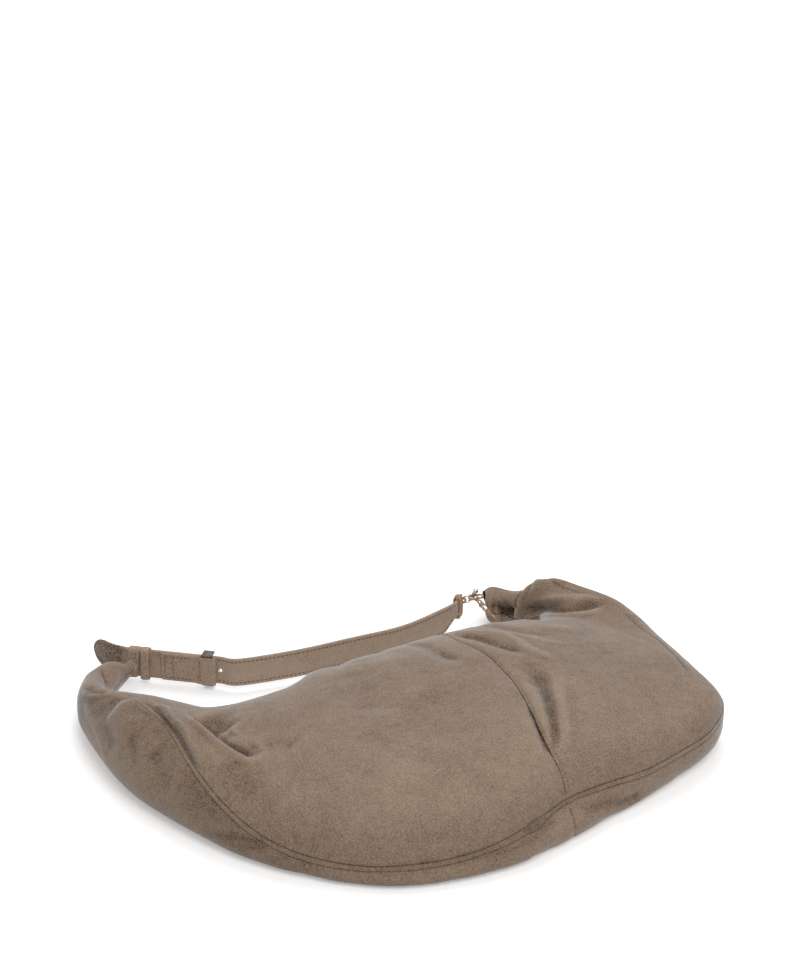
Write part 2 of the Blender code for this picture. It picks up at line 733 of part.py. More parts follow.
# Layers of the strap run beside each other, measured away from the pouch
hole_along = frame_middle + prong_reach + prong_tip
buckle_inner = -(strap_half + touch_gap + buckle_strap_thickness / 2)
frame_near = buckle_inner - buckle_strap_thickness / 2 - touch_gap - frame_thickness / 2
buckle_outer = frame_near - frame_thickness / 2 - touch_gap - buckle_strap_thickness / 2
flap_flat = buckle_inner - buckle_strap_thickness - touch_gap
eye_radius = pin_radius + pin_clearance + prong_thickness / 2
pin_away = strap_half + touch_gap + prong_thickness / 2 + eye_radius
frame_far = pin_away + pin_radius + frame_thickness / 2


def plan_run(along, away):
    point = run_point(along, away, 0.0)
    return Vector((point.x, point.y))


# The strap's end points at the place where its lace goes round the ring
strap_rim = ring_centre - lift_axis * ring_radius
strap_heading = Vector((math.cos(strap_end_turn), math.sin(strap_end_turn), 0.0))
strap_beside = Vector((-strap_heading.y, strap_heading.x, 0.0))


def strap_end_point(along, aside, up):
    return strap_rim + strap_heading * along + strap_beside * aside + Vector((0.0, 0.0, up))


# The strap's middle line in plan, from the tail's tip along the straight run to the ring
def strap_route():
    points = []
    steps = 9
    for step in range(steps):
        share = 1 - step / steps
        points.append(plan_run(-run_before - strap_tail * share ** tail_reach_share,
                               tail_sweep * share ** tail_sweep_share))
    points.append(plan_run(-run_before, 0.0))
    points.append(plan_run(run_after / 3, 0.0))
    end = (strap_rim - strap_heading * strap_end_gap).to_2d()
    straight = strap_heading.to_2d()
    knots = [plan_run(run_after * run_bend_share, 0.0), plan_run(run_after, 0.0)]
    knots += [Vector((x * half_width, y * bag_depth)) for x, y in strap_route_shares]
    knots += [end - straight * strap_end_straight, end]
    rows = [np.array(knot) for knot in knots]
    pieces = 4
    for place in range(pieces * (len(rows) - 2) + 1):
        points.append(Vector(smooth_row(rows, place / pieces)))
    points.append((points[-1] + end) / 2)
    points.append(end)
    return points


def strap_heights(route):
    lengths = [0.0]
    for before, after in zip(route, route[1:]):
        lengths.append(lengths[-1] + (after - before).length)
    lows = []
    highs = []
    radius = strap_width / 2
    for along in lengths:
        from_end = lengths[-1] - along
        half = radius
        if along < radius:
            half = max(math.sqrt(radius ** 2 - (radius - along) ** 2), radius * tail_tip_share)
        taper = min(max((from_end - strap_end_straight) / strap_taper, 0.0), 1.0)
        half = min(half, strap_end_height / 2 + (radius - strap_end_height / 2) * taper)
        lift = (ring_height - strap_middle_z) * (1 - taper)
        lows.append(strap_middle_z + lift - half)
        highs.append(strap_middle_z + lift + half)
    return lows, highs


def offset_route(route, aside):
    moved = []
    for place, here in enumerate(route):
        before = route[max(place - 1, 0)]
        after = route[min(place + 1, len(route) - 1)]
        along = (after - before).normalized()
        moved.append(here + Vector((-along.y, along.x)) * aside)
    return moved


def make_strap():
    route = strap_route()
    lows, highs = strap_heights(route)
    cutter = [rod_solid([strap_end_point(-strap_lace_reach, -strap_half * 2, 0.0),
                         strap_end_point(-strap_lace_reach, strap_half * 2, 0.0)], hole_radius, 12)]
    for hole in range(hole_count):
        along = hole_along - hole * hole_pitch
        cutter.append(rod_solid([run_point(along, -strap_half * 3, strap_middle_z),
                                 run_point(along, strap_half * 3, strap_middle_z)], hole_radius, 12))
    holes = make_object("strap_hole_cutter", *joined(cutter), "nickel")
    holes.hide_render = True
    holes.display_type = "WIRE"
    for node, side in (("strap_face", -1), ("strap_backing", 1)):
        middle = side * (strap_half - strap_layer / 2)
        layer = ribbon_solid(offset_route(route, middle), strap_layer, lows, highs)
        item = make_object(node, *layer, "strap_suede", neck_pivot)
        cut = item.modifiers.new("holes", "BOOLEAN")
        cut.object = holes
        cut.operation = "DIFFERENCE"
        cut.solver = "EXACT"


def make_buckle():
    fold = (buckle_inner + buckle_outer) / 2
    radius = (buckle_inner - buckle_outer) / 2
    frame_left = frame_middle - frame_width / 2
    frame_right = frame_middle + frame_width / 2
    start = loop_middle - loop_width / 2 - loop_thickness
    route = [(start, buckle_inner), (frame_left, buckle_inner)]
    steps = 6
    for step in range(steps + 1):
        turn = math.pi / 2 - math.pi * step / steps
        route.append((frame_right + touch_gap * 2 + radius * math.cos(turn),
                      fold + radius * math.sin(turn)))
    route += [(frame_left, buckle_outer), (frame_left - flap_rise, flap_flat), (flap_end, flap_flat)]
    strip = ribbon_solid(route, buckle_strap_thickness, strap_rest, strap_rest + strap_width)
    make_object("buckle_strap", *placed(strip, run_point), "strap_suede", neck_pivot)
    top = strap_rest + strap_width + frame_overhang + frame_thickness / 2
    bottom = strap_rest - frame_overhang - frame_thickness / 2
    route = [(frame_far, top), (frame_near, top), (frame_near, bottom), (frame_far, bottom)]
    band = ribbon_solid(route, frame_thickness, frame_left, frame_right)
    make_object("buckle_frame", *placed(band, lambda away, up, along: run_point(along, away, up)),
                "nickel", neck_pivot)
    low = bottom + frame_thickness / 2 + touch_gap
    high = top - frame_thickness / 2 - touch_gap
    pin = [run_point(frame_middle, pin_away, low), run_point(frame_middle, pin_away, high)]
    make_object("buckle_pin", *rod_solid(pin, pin_radius, 10), "nickel", neck_pivot)


# The prong's eye goes round the pin, and its tip hooks through the hole in the strap
def make_prong():
    route = []
    steps = 10
    for step in range(steps + 1):
        turn = -math.pi / 2 - prong_turn * (1 - step / steps)
        route.append((frame_middle + eye_radius * math.cos(turn), pin_away + eye_radius * math.sin(turn)))
    arm = pin_away - eye_radius
    bend = prong_thickness
    route.append((frame_middle + prong_reach - bend, arm))
    route.append((frame_middle + prong_reach, arm - bend))
    route.append((frame_middle + prong_reach, -strap_half - prong_tip))
    low = strap_middle_z - prong_width / 2
    hook = ribbon_solid(route, prong_thickness, low, low + prong_width)
    origin = run_point(frame_middle, pin_away, strap_middle_z)
    make_object("buckle_prong", *placed(hook, run_point), "nickel", origin)


# The band at the neck holds both straps, and the keeper slides over the folded flap
def make_bands():
    low = strap_rest - loop_clearance - loop_thickness / 2
    high = strap_rest + strap_width + loop_clearance + loop_thickness / 2
    far = strap_half + loop_clearance + loop_thickness / 2
    near = loop_near + loop_thickness / 2
    keeper_near = -flap_flat + buckle_strap_thickness / 2 + loop_clearance + loop_thickness / 2
    for node, reach, middle, width in (("neck_loop_left", near, loop_middle, loop_width),
                                       ("keeper_loop", keeper_near, keeper_middle, keeper_width)):
        outline = rounded_loop(-reach, far, low, high, loop_thickness)
        band = ribbon_solid(outline, loop_thickness, middle - width / 2, middle + width / 2, True)
        make_object(node, *placed(band, lambda away, up, along: run_point(along, away, up)),
                    "strap_suede", run_point(middle, 0.0, strap_middle_z))
    half = neck_tab_height / 2
    end = neck_tab_length - touch_gap
    shares = ((-1.0, 0.25), (-0.8, 0.6), (-0.4, 0.92), (0.0, 1.0))
    route = [neck_pivot + run_away * half * along for along, _ in shares]
    radii = [half * wide for _, wide in shares]
    route.append(neck_pivot + run_away * end)
    radii.append(half)
    make_object("neck_tab_left", *rod_solid(route, radii, 10), "strap_suede", neck_pivot)


def make_ring_and_laces():
    up = lift_up * math.cos(ring_lean) - lift_side * math.sin(ring_lean)
    circle = []
    for step in range(20):
        turn = math.tau * step / 20
        circle.append(ring_centre + (lift_axis * math.cos(turn) + up * math.sin(turn)) * ring_radius)
    make_object("join_ring", *rod_solid(circle, ring_wire, 8, True), "nickel", ring_centre)
    loop = stadium(lace_bend, lace_reach, lace_half_width, lambda a, b: ring_point(a, b, 0.0))
    make_object("ring_lace_loop", *rod_solid(loop, lace_radius, 8, True), "lace")
    loop = stadium(-lace_half_width, strap_lace_reach, lace_half_width,
                   lambda a, b: strap_end_point(-a, b, 0.0))
    make_object("strap_lace_loop", *rod_solid(loop, lace_radius, 8, True), "lace", neck_pivot)
    high = 2 * lace_radius + touch_gap
    across = lace_half_width + high
    knot = stadium(-across, across, high, lambda a, b: ring_point(lace_knot_place, a, b), 5)
    make_object("lace_knot", *rod_solid(knot, lace_radius, 8, True), "lace")
    top = ring_point(lace_knot_place, 0.0, high + lace_radius + touch_gap + bead_radius)
    make_object("round_bead", *ball_solid(top, bead_radius), "nickel")


# Turns of lace round the strap's narrow end
def make_strap_wrap():
    route = strap_route()
    end = route[-1]
    along = (end - route[-2]).normalized()
    beside = Vector((-along.y, along.x))
    wide = strap_half + touch_gap * 3 + lace_radius
    tall = strap_end_height / 2 + touch_gap * 3 + lace_radius
    turns = 20
    points = []
    for step in range(wrap_turns * turns + 1):
        turn = math.tau * step / turns
        back = wrap_inset + wrap_pitch * step / turns
        side = math.copysign(abs(math.cos(turn)) ** wrap_square_share, math.cos(turn)) * wide
        up = math.copysign(abs(math.sin(turn)) ** wrap_square_share, math.sin(turn)) * tall
        point = end - along * back + beside * side
        points.append(Vector((point.x, point.y, ring_height + up)))
    make_object("strap_end_wrap", *rod_solid(points, lace_radius, 6), "lace", neck_pivot)


# The charm hangs from the knot: two strands, a knot, a barrel bead, an end knot and a tail
def make_charm():
    outer = lace_half_width + 3 * lace_radius + 2 * touch_gap
    start = ring_point(lace_knot_place, -outer, 0.0)
    knots = [Vector((x * half_width, y * bag_depth, z * bag_height))
             for (x, y), z in zip(charm_route_shares, charm_height_shares)]
    upper, barrel, lower = knots
    gap = touch_gap
    for node, side in (("charm_strand_left", -1), ("charm_strand_right", 1)):
        along = (upper - start).normalized()
        across = along.cross(Vector((0.0, 0.0, 1.0))).normalized() * charm_spread * side
        stop = upper - along * (charm_knot_radius + gap)
        strand = [start + across, (start + stop) / 2 + across * strand_bow_share, stop + across]
        make_object(node, *rod_solid(strand, charm_lace_radius, 6), "lace", start)
    make_object("charm_upper_knot", *ball_solid(upper, charm_knot_radius), "lace", start)
    along = (barrel - upper).normalized()
    first = upper + along * (charm_knot_radius + gap)
    ends = [first, first + along * barrel_length]
    bulge = [first + along * barrel_length * share for share in (0.0, 0.25, 0.5, 0.75, 1.0)]
    swell = [barrel_radius * share for share in (0.72, 0.95, 1.0, 0.95, 0.72)]
    make_object("barrel_bead", *rod_solid(bulge, swell, 12), "nickel", start)
    centre = ends[1] + along * (gap + charm_knot_radius)
    make_object("charm_end_knot", *ball_solid(centre, charm_knot_radius), "lace", start)
    down = (lower - barrel).normalized()
    tail = [centre + down * (charm_knot_radius + gap + charm_tail_length * share)
            for share in (0.0, 0.5, 1.0)]
    make_object("charm_tail", *rod_solid(tail, charm_lace_radius, 6), "lace", start)


def main():
    clear_scene()
    make_panels()
    make_linings()
    make_zip()
    make_slider()
    make_puller()
    make_strap()
    make_buckle()
    make_prong()
    make_bands()
    make_ring_and_laces()
    make_strap_wrap()
    make_charm()


main()
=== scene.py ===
import math

import bmesh
import bpy
import numpy as np
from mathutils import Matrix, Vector, noise


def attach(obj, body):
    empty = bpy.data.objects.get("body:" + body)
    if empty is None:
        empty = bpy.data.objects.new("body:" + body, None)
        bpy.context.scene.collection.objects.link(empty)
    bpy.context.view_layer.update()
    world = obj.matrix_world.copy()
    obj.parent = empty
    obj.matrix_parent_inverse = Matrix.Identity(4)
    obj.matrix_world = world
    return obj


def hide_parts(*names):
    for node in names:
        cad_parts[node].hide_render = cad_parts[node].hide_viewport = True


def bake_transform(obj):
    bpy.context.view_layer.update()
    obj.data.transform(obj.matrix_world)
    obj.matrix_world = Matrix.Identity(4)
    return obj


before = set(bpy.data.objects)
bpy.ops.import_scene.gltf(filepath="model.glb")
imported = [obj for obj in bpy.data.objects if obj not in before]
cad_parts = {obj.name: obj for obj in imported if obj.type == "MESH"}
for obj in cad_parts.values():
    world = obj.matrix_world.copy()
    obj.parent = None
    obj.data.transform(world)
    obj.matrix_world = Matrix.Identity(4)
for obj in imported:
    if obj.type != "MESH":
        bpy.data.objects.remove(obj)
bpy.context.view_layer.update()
mm = 0.001

# Sizes that the part's source has too
bag = {
    "halfWidth": 0.230,
    "depth": 0.250,
    "height": 0.074,
    "bellyInset": 0.029,
    "gap": 0.0003,
    "leftNeckRadius": 0.0045,
    "leftTipBack": 0.0027,
    "rightNeckRadius": 0.0038,
    "rightTipAlong": 0.0163,
    "zipOpening": 0.0124,
    "zipFade": 0.022,
    "zipLineY": 0.099,
    "zipHeight": 0.0215,
    "zipStart": -0.0490,
    "zipEnd": 0.12905,
    "tapeTuck": 0.0050,
    "stripWidth": 0.0075,
    "seamRow": 16,
}
neckPivot = Vector((-0.15936, 0.22398, 0.0175))
ringCentre = Vector((0.14398, 0.196, 0.0220))
liftAxis = (ringCentre - neckPivot).normalized()
liftSide = Vector((-liftAxis.y, liftAxis.x, 0.0)).normalized()
liftUp = liftAxis.cross(liftSide)
runStart = Vector((-0.13846, 0.224, 0.0))
runAlong = Vector((math.cos(math.radians(-40)), math.sin(math.radians(-40)), 0.0))
runAway = Vector((-runAlong.y, runAlong.x, 0.0))


def runPoint(along, away, height):
    return runStart + runAlong * along + runAway * away + Vector((0.0, 0.0, height))


def ringPoint(along, aside, up):
    return ringCentre + liftAxis * along + liftSide * aside + liftUp * up


# Camera, lamps, floor and world
view = {
    "place": (-0.7331, -1.3292, 0.9180),
    "tilt": (66.0, 0.0, -28.0),
    "lens": 85.0,
    "sensorHeight": 36.0,
    "farthest": 50.0,
    "floorColour": (0.93, 0.93, 0.93),
    "speckShade": 0.99,
    "speckScale": 90.0,
    "floorRoughness": 0.9,
    "floorSpecular": 0.1,
    "floorReach": 6.0,
    "floorGlow": 0.30,
    "fadeStart": 0.27,
    "fadeEnd": 0.52,
    "skyStrength": 0.56,
}
lampList = [
    # name, place, aim, size, power
    ("overheadLamp", (0.40, 0.75, 1.50), (0.05, 0.05, 0.0), 1.3, 11.0),
    ("frontLamp", (-0.15, -1.15, 1.55), (0.0, 0.0, 0.03), 1.1, 15.0),
]


def placed(name, data):
    made = bpy.data.objects.new(name, data)
    bpy.context.scene.collection.objects.link(made)
    return made


def makeView():
    camera = placed("camera", bpy.data.cameras.new("camera"))
    camera.location = view["place"]
    camera.rotation_euler = [math.radians(angle) for angle in view["tilt"]]
    camera.data.lens = view["lens"]
    camera.data.sensor_fit = "VERTICAL"
    camera.data.sensor_height = view["sensorHeight"]
    camera.data.clip_end = view["farthest"]
    bpy.context.scene.camera = camera
    for name, place, aim, size, power in lampList:
        light = bpy.data.lights.new(name, "AREA")
        light.shape = "DISK"
        light.size = size
        light.energy = power
        lamp = placed(name, light)
        lamp.location = place
        lamp.rotation_euler = (Vector(aim) - Vector(place)).to_track_quat("-Z", "Y").to_euler()
    bpy.context.scene.view_settings.view_transform = "Standard"


# A socket of a node tree, so that sums on it add Math nodes
class Flow:
    def __init__(self, tree, socket):
        self.tree = tree
        self.socket = socket

    def sum(self, operation, first, second):
        return self.tree.node("ShaderNodeMath", {"operation": operation}, {0: first, 1: second})

    def __add__(self, other):
        return self.sum("ADD", self, other)

    __radd__ = __add__

    def __mul__(self, other):
        return self.sum("MULTIPLY", self, other)

    __rmul__ = __mul__


# The nodes of a material or a world: it adds nodes and links what it is given
class Tree:
    def __init__(self, owner):
        owner.use_nodes = True
        self.nodes = owner.node_tree.nodes
        self.links = owner.node_tree.links
        self.nodes.clear()

    def node(self, kind, settings=None, inputs=None, output=0):
        made = self.nodes.new(kind)
        for name, value in (settings or {}).items():
            setattr(made, name, value)
        self.feed(made, inputs or {})
        return Flow(self, made.outputs[output])

    def feed(self, made, inputs):
        for name, value in inputs.items():
            socket = made.inputs[name]
            if isinstance(value, Flow):
                self.links.new(value.socket, socket)
            elif isinstance(value, tuple) and len(value) == 3 and socket.type == "RGBA":
                socket.default_value = (*value, 1.0)
            else:
                socket.default_value = value

    def range(self, value, low, high, toLow=0.0, toHigh=1.0):
        return self.node("ShaderNodeMapRange", {}, {"Value": value, "From Min": low, "From Max": high,
                                                    "To Min": toLow, "To Max": toHigh})

    # 1 for rays that see a thing as it is, and 0 for those that only carry light
    def seeingRays(self):
        path = self.nodes.new("ShaderNodeLightPath")
        seen = Flow(self, path.outputs["Is Camera Ray"])
        for name in ("Is Glossy Ray", "Is Transmission Ray"):
            seen = seen.sum("MAXIMUM", seen, Flow(self, path.outputs[name]))
        return seen


# One material, with its shader and the textures that the finishes use
class Finish(Tree):
    def __init__(self, name):
        self.material = bpy.data.materials.new(name)
        super().__init__(self.material)
        self.shader = self.nodes.new("ShaderNodeBsdfPrincipled")
        self.output = self.nodes.new("ShaderNodeOutputMaterial")
        self.links.new(self.shader.outputs["BSDF"], self.output.inputs["Surface"])

    def place(self):
        return self.node("ShaderNodeAttribute", {"attribute_name": "restPlace"}, output="Vector")

    def value(self, name):
        return self.node("ShaderNodeAttribute", {"attribute_name": name}, output="Fac")

    def noise(self, place, scale, detail=3.0, roughness=0.5, distortion=0.0):
        return self.node("ShaderNodeTexNoise", {}, {"Vector": place, "Scale": scale, "Detail": detail,
                                                    "Roughness": roughness, "Distortion": distortion})

    def stretch(self, place, scale):
        return self.node("ShaderNodeVectorMath", {"operation": "MULTIPLY"}, {0: place, 1: scale})

    def blend(self, factor, first, second):
        return self.node("ShaderNodeMix", {"data_type": "RGBA"}, {0: factor, 6: first, 7: second}, output=2)

    def ramp(self, factor, places, colours):
        made = self.nodes.new("ShaderNodeValToRGB")
        stops = made.color_ramp.elements
        while len(stops) < len(places):
            stops.new(0.5)
        for stop, place, colour in zip(stops, places, colours):
            stop.position = place
            stop.color = (*colour, 1.0)
        self.feed(made, {"Fac": factor})
        return Flow(self, made.outputs["Color"])

    def bump(self, height, strength, distance):
        return self.node("ShaderNodeBump", {}, {"Height": height, "Strength": strength, "Distance": distance})

    def done(self, **inputs):
        self.feed(self.shader, {name.replace("_", " "): value for name, value in inputs.items()})
        return self.material


usualRange = (0.3, 0.7)  # where most of a noise's values lie

# In the finishes a noise is its scale, detail, roughness and distortion. A tone or a roughness says from
# where to where in the noise, and what that becomes. A bump is its strength and its distance
suedeLook = {
    "colour": (0.252, 0.181, 0.130),
    "deep": (0.150, 0.102, 0.069),
    "pale": (0.366, 0.274, 0.205),
    # Painted light: the strap's colours are paler copies of the pouch's suede, for its faces that stand on
    # edge and get little lamp light
    "strapLitColour": (0.390, 0.290, 0.216),
    "strapLitDeep": (0.225, 0.157, 0.110),
    "strapLitPale": (0.450, 0.345, 0.265),
    # The ramp's darkest stop is painted shade, for deep hollows and creases
    "hollow": (0.040, 0.028, 0.020),
    "rampPlaces": (0.0, 0.16, 0.50, 0.94),
    "patches": (19.0, 3.0, 0.5, 0.3),
    "mottle": (152.0, 3.0, 0.6),
    "nap": (780.0, 2.0, 0.7, 0.3),
    "grain": (1500.0, 2.0, 0.7),
    "patchTone": (0.30, 0.70, 0.12, 0.26),
    "mottleTone": (0.30, 0.70, -0.05, 0.10),
    "napTone": (0.25, 0.75, -0.25, 0.39),
    "grainTone": (0.25, 0.75, -0.05, 0.41),
    "foldTone": 0.31,
    "roughness": (0.30, 0.70, 0.88, 0.97),
    "napHeight": 0.6,
    "grainHeight": 0.4,
    "mottleHeight": 0.4,
    "bump": (0.6, 0.0006),
    "sheen": 0.72,
    "sheenRoughness": 0.36,
    "sheenTint": (0.80, 0.85, 0.90),
    "specular": 0.16,
}


# Suede: patches where the nap lies another way, a fine fibrous grain, and from the fold attribute pale worn
# ridges and painted shade in hollows, creases and seams
def suedeFinish(name, colour, deep, pale):
    values = suedeLook
    look = Finish(name)
    place = look.place()
    patches, mottle, nap, grain = (look.noise(place, *values[key])
                                   for key in ("patches", "mottle", "nap", "grain"))
    tone = look.range(patches, *values["patchTone"]) + look.range(mottle, *values["mottleTone"])
    tone = tone + look.range(nap, *values["napTone"]) + look.range(grain, *values["grainTone"])
    # The fold attribute carries painted shade in hollows, creases and seams, and on the strap painted light
    # and shade
    tone = tone + look.value("fold") * values["foldTone"]
    shade = look.ramp(tone, values["rampPlaces"], (values["hollow"], deep, colour, pale))
    height = nap * values["napHeight"] + grain * values["grainHeight"] + mottle * values["mottleHeight"]
    rough = look.range(patches, *values["roughness"])
    return look.done(Base_Color=shade, Roughness=rough, Normal=look.bump(height, *values["bump"]),
                     Sheen_Weight=values["sheen"], Sheen_Roughness=values["sheenRoughness"],
                     Sheen_Tint=values["sheenTint"], Specular_IOR_Level=values["specular"])


clothLook = {
    "lining": (0.180, 0.150, 0.120),
    "liningDark": (0.110, 0.090, 0.072),
    "liningThreads": 1900.0,
    "tape": (0.130, 0.105, 0.085),
    "tapeDark": (0.070, 0.056, 0.045),
    "tapeThreads": 1520.0,
    "wander": 0.4,
    "slubScale": 0.11,
    "slub": (3.0, 0.6),
    "weaveShare": 0.55,
    "slubShare": 0.45,
    "roughness": (0.3, 0.7, 0.72, 0.88),
    "bump": (0.5, 0.0003),
    "specular": 0.3,
}


# Woven cloth: bands of over and under threads in two directions
def wovenFinish(name, colour, dark, threads):
    values = clothLook
    look = Finish(name)
    place = look.place()
    along, across = (look.node("ShaderNodeTexWave", {"wave_type": "BANDS", "bands_direction": direction},
                               {"Vector": place, "Scale": threads / math.tau, "Distortion": values["wander"],
                                "Detail": 1.0}) for direction in ("X", "DIAGONAL"))
    weave = along * 0.5 + across * 0.5
    slub = look.noise(place, threads * values["slubScale"], *values["slub"])
    tone = weave * values["weaveShare"] + look.range(slub, *usualRange) * values["slubShare"]
    rough = look.range(slub, *values["roughness"])
    return look.done(Base_Color=look.blend(tone, dark, colour), Roughness=rough,
                     Normal=look.bump(weave, *values["bump"]), Specular_IOR_Level=values["specular"])


metalLook = {"colour": (0.60, 0.585, 0.56), "worn": (0.36, 0.34, 0.32), "roughness": (0.3, 0.8, 0.16, 0.42)}
frameLook = {"colour": (0.165, 0.135, 0.112), "worn": (0.085, 0.070, 0.058),
             "roughness": (0.3, 0.8, 0.50, 0.76)}
metalGrain = {"tarnish": (260.0, 4.0, 0.6, 0.5), "brushed": (1400.0, 2.0, 0.5), "stretch": (1.0, 1.0, 9.0),
              "dullRange": (0.48, 0.78), "bump": (0.12, 0.0001)}


# Nickel: fine brushed lines, a little tarnish in patches. The part's own pieces have no restPlace
def nickelFinish(name, kept=False, values=metalLook):
    look = Finish(name)
    place = look.node("ShaderNodeTexCoord", output="Object") if kept else look.place()
    tarnish = look.noise(place, *metalGrain["tarnish"])
    brushed = look.noise(look.stretch(place, metalGrain["stretch"]), *metalGrain["brushed"])
    shade = look.blend(look.range(tarnish, *metalGrain["dullRange"]), values["colour"], values["worn"])
    return look.done(Base_Color=shade, Roughness=look.range(tarnish, *values["roughness"]), Metallic=1.0,
                     Normal=look.bump(brushed, *metalGrain["bump"]))


laceLook = {
    "colour": (0.420, 0.245, 0.135),
    "deep": (0.215, 0.110, 0.055),
    "pale": (0.560, 0.370, 0.230),
    "rampPlaces": (0.15, 0.5, 0.9),
    "fibres": (900.0, 3.0, 0.6, 0.6),
    "stretch": (1.0, 1.0, 0.6),
    "patches": (240.0, 3.0, 0.6),
    "fibreShare": 0.45,
    "patchShare": 0.55,
    "roughness": (0.3, 0.7, 0.42, 0.62),
    "bump": (0.5, 0.0003),
    "specular": 0.45,
}


# Lace leather: fibres along the cut, darker and orange patches
def laceFinish(name):
    values = laceLook
    look = Finish(name)
    place = look.place()
    fibre = look.noise(look.stretch(place, values["stretch"]), *values["fibres"])
    patch = look.noise(place, *values["patches"])
    tone = (look.range(fibre, *usualRange) * values["fibreShare"]
            + look.range(patch, *usualRange) * values["patchShare"])
    shade = look.ramp(tone, values["rampPlaces"], (values["deep"], values["colour"], values["pale"]))
    return look.done(Base_Color=shade, Roughness=look.range(patch, *values["roughness"]),
                     Normal=look.bump(fibre, *values["bump"]), Specular_IOR_Level=values["specular"])


threadLook = {"colour": (0.170, 0.121, 0.087), "dark": (0.110, 0.076, 0.054),
              "pouchColour": (0.080, 0.056, 0.040), "pouchDark": (0.056, 0.039, 0.027),
              "plies": (2600.0, 2.0, 0.5), "roughness": (0.3, 0.7, 0.55, 0.75), "bump": (0.4, 0.0002)}


def threadFinish(name, colour, dark):
    look = Finish(name)
    ply = look.noise(look.place(), *threadLook["plies"])
    shade = look.blend(look.range(ply, *usualRange), dark, colour)
    return look.done(Base_Color=shade, Roughness=look.range(ply, *threadLook["roughness"]),
                     Normal=look.bump(ply, *threadLook["bump"]))


# The floor glows more towards its edges, where it turns into the plain background
def floorFinish():
    look = Finish("floorPaper")
    place = look.node("ShaderNodeTexCoord", output="Object")
    speck = look.noise(place, view["speckScale"])
    shade = look.blend(look.range(speck, *usualRange), view["floorColour"],
                       tuple(part * view["speckShade"] for part in view["floorColour"]))
    look.done(Base_Color=shade, Roughness=view["floorRoughness"], Specular_IOR_Level=view["floorSpecular"])
    away = look.node("ShaderNodeVectorMath", {"operation": "LENGTH"}, {0: place}, output="Value")
    bright = look.range(away, view["fadeStart"], view["fadeEnd"], view["floorGlow"], 1.0)
    glow = look.nodes.new("ShaderNodeEmission")
    look.feed(glow, {"Strength": look.seeingRays() * bright})
    both = look.nodes.new("ShaderNodeAddShader")
    look.links.new(look.shader.outputs["BSDF"], both.inputs[0])
    look.links.new(glow.outputs["Emission"], both.inputs[1])
    look.links.new(both.outputs["Shader"], look.output.inputs["Surface"])
    return look.material


def makeSurroundings():
    world = bpy.data.worlds.new("world")
    bpy.context.scene.world = world
    tree = Tree(world)
    sky = tree.nodes.new("ShaderNodeBackground")
    tree.feed(sky, {"Strength": tree.range(tree.seeingRays(), 0.0, 1.0, view["skyStrength"], 1.0)})
    output = tree.nodes.new("ShaderNodeOutputWorld")
    tree.links.new(sky.outputs["Background"], output.inputs["Surface"])
    reach = view["floorReach"]
    mesh = bpy.data.meshes.new("floor")
    mesh.from_pydata([(-reach, -reach, 0), (reach, -reach, 0), (reach, reach, 0), (-reach, reach, 0)],
                     [], [(0, 1, 2, 3)])
    floor = placed("floor", mesh)
    floor.data.materials.append(floorFinish())


# An eased share: 0 at 0 and 1 at 1, level at both
def eased(share):
    return share * share * (3 - 2 * share)


def limited(value):
    return np.clip(value, 0, 1)


# 1 in the middle, and about a third of it at one width away
def bell(away, width=1.0):
    return np.exp(-(away / width) ** 2)


# How far along a line each of its points lies
def lineLengths(line):
    return np.concatenate([[0.0], np.cumsum(np.linalg.norm(np.diff(line, axis=0), axis=1))])


# A point on the smooth curve through some points, at a place that is counted in points
def curvePoint(points, place, runsRound=False):
    total = len(points)
    low = int(place) if runsRound else min(max(int(place), 0), total - 2)
    part = place - low
    a, b, c, d = (points[(low + step) % total if runsRound else min(max(low + step, 0), total - 1)]
                  for step in (-1, 0, 1, 2))
    return 0.5 * (2 * b + (c - a) * part + (2 * a - 5 * b + 4 * c - d) * part ** 2
                  + (3 * b - 3 * c + d - a) * part ** 3)


# One piece of the looks, from points and faces
def makePiece(name, points, faces, finish, body=None, slot=None, values=None, sharp=None):
    mesh = bpy.data.meshes.new(name)
    mesh.from_pydata([tuple(map(float, point)) for point in points], [], faces)
    mesh.validate()
    work = bmesh.new()
    work.from_mesh(mesh)
    bmesh.ops.recalc_face_normals(work, faces=work.faces)
    work.to_mesh(mesh)
    work.free()
    mesh.shade_smooth()
    if sharp:
        mesh.set_sharp_from_angle(angle=math.radians(sharp))
    for key, numbers in (values or {}).items():
        layer = mesh.attributes.new(key, "FLOAT", "POINT")
        layer.data.foreach_set("value", np.asarray(numbers, np.float32).ravel())
    piece = placed(name, mesh)
    piece.data.materials.append(finish)
    keepPlace(piece)
    if body:
        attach(piece, body)
    return piece


# Each point keeps its place at rest, so that grain and weave don't slide as a piece bends
def keepPlace(piece):
    mesh = piece.data
    places = np.empty(len(mesh.vertices) * 3, np.float32)
    mesh.vertices.foreach_get("co", places)
    layer = mesh.attributes.get("restPlace") or mesh.attributes.new("restPlace", "FLOAT_VECTOR", "POINT")
    layer.data.foreach_set("vector", places)


def gridFaces(rows, columns, first=0, turned=False):
    faces = []
    for row in range(rows - 1):
        for column in range(columns - 1):
            a = first + row * columns + column
            face = (a, a + 1, a + columns + 1, a + columns)
            faces.append(face[::-1] if turned else face)
    return faces


# Faces that join rings of points, the ends filled unless the rings run round
def ringFaces(rings, count, runsRound=False):
    faces = []
    for row in range(rings if runsRound else rings - 1):
        here, after = row * count, (row + 1) % rings * count
        for side in range(count):
            beside = (side + 1) % count
            faces.append((here + side, here + beside, after + beside, after + side))
    if not runsRound:
        faces.append(tuple(range(count))[::-1])
        faces.append(tuple((rings - 1) * count + side for side in range(count)))
    return faces


def joined(solids):
    points = []
    faces = []
    for somePoints, someFaces in solids:
        first = len(points)
        points += [tuple(point) for point in somePoints]
        faces += [tuple(first + corner for corner in face) for face in someFaces]
    return points, faces


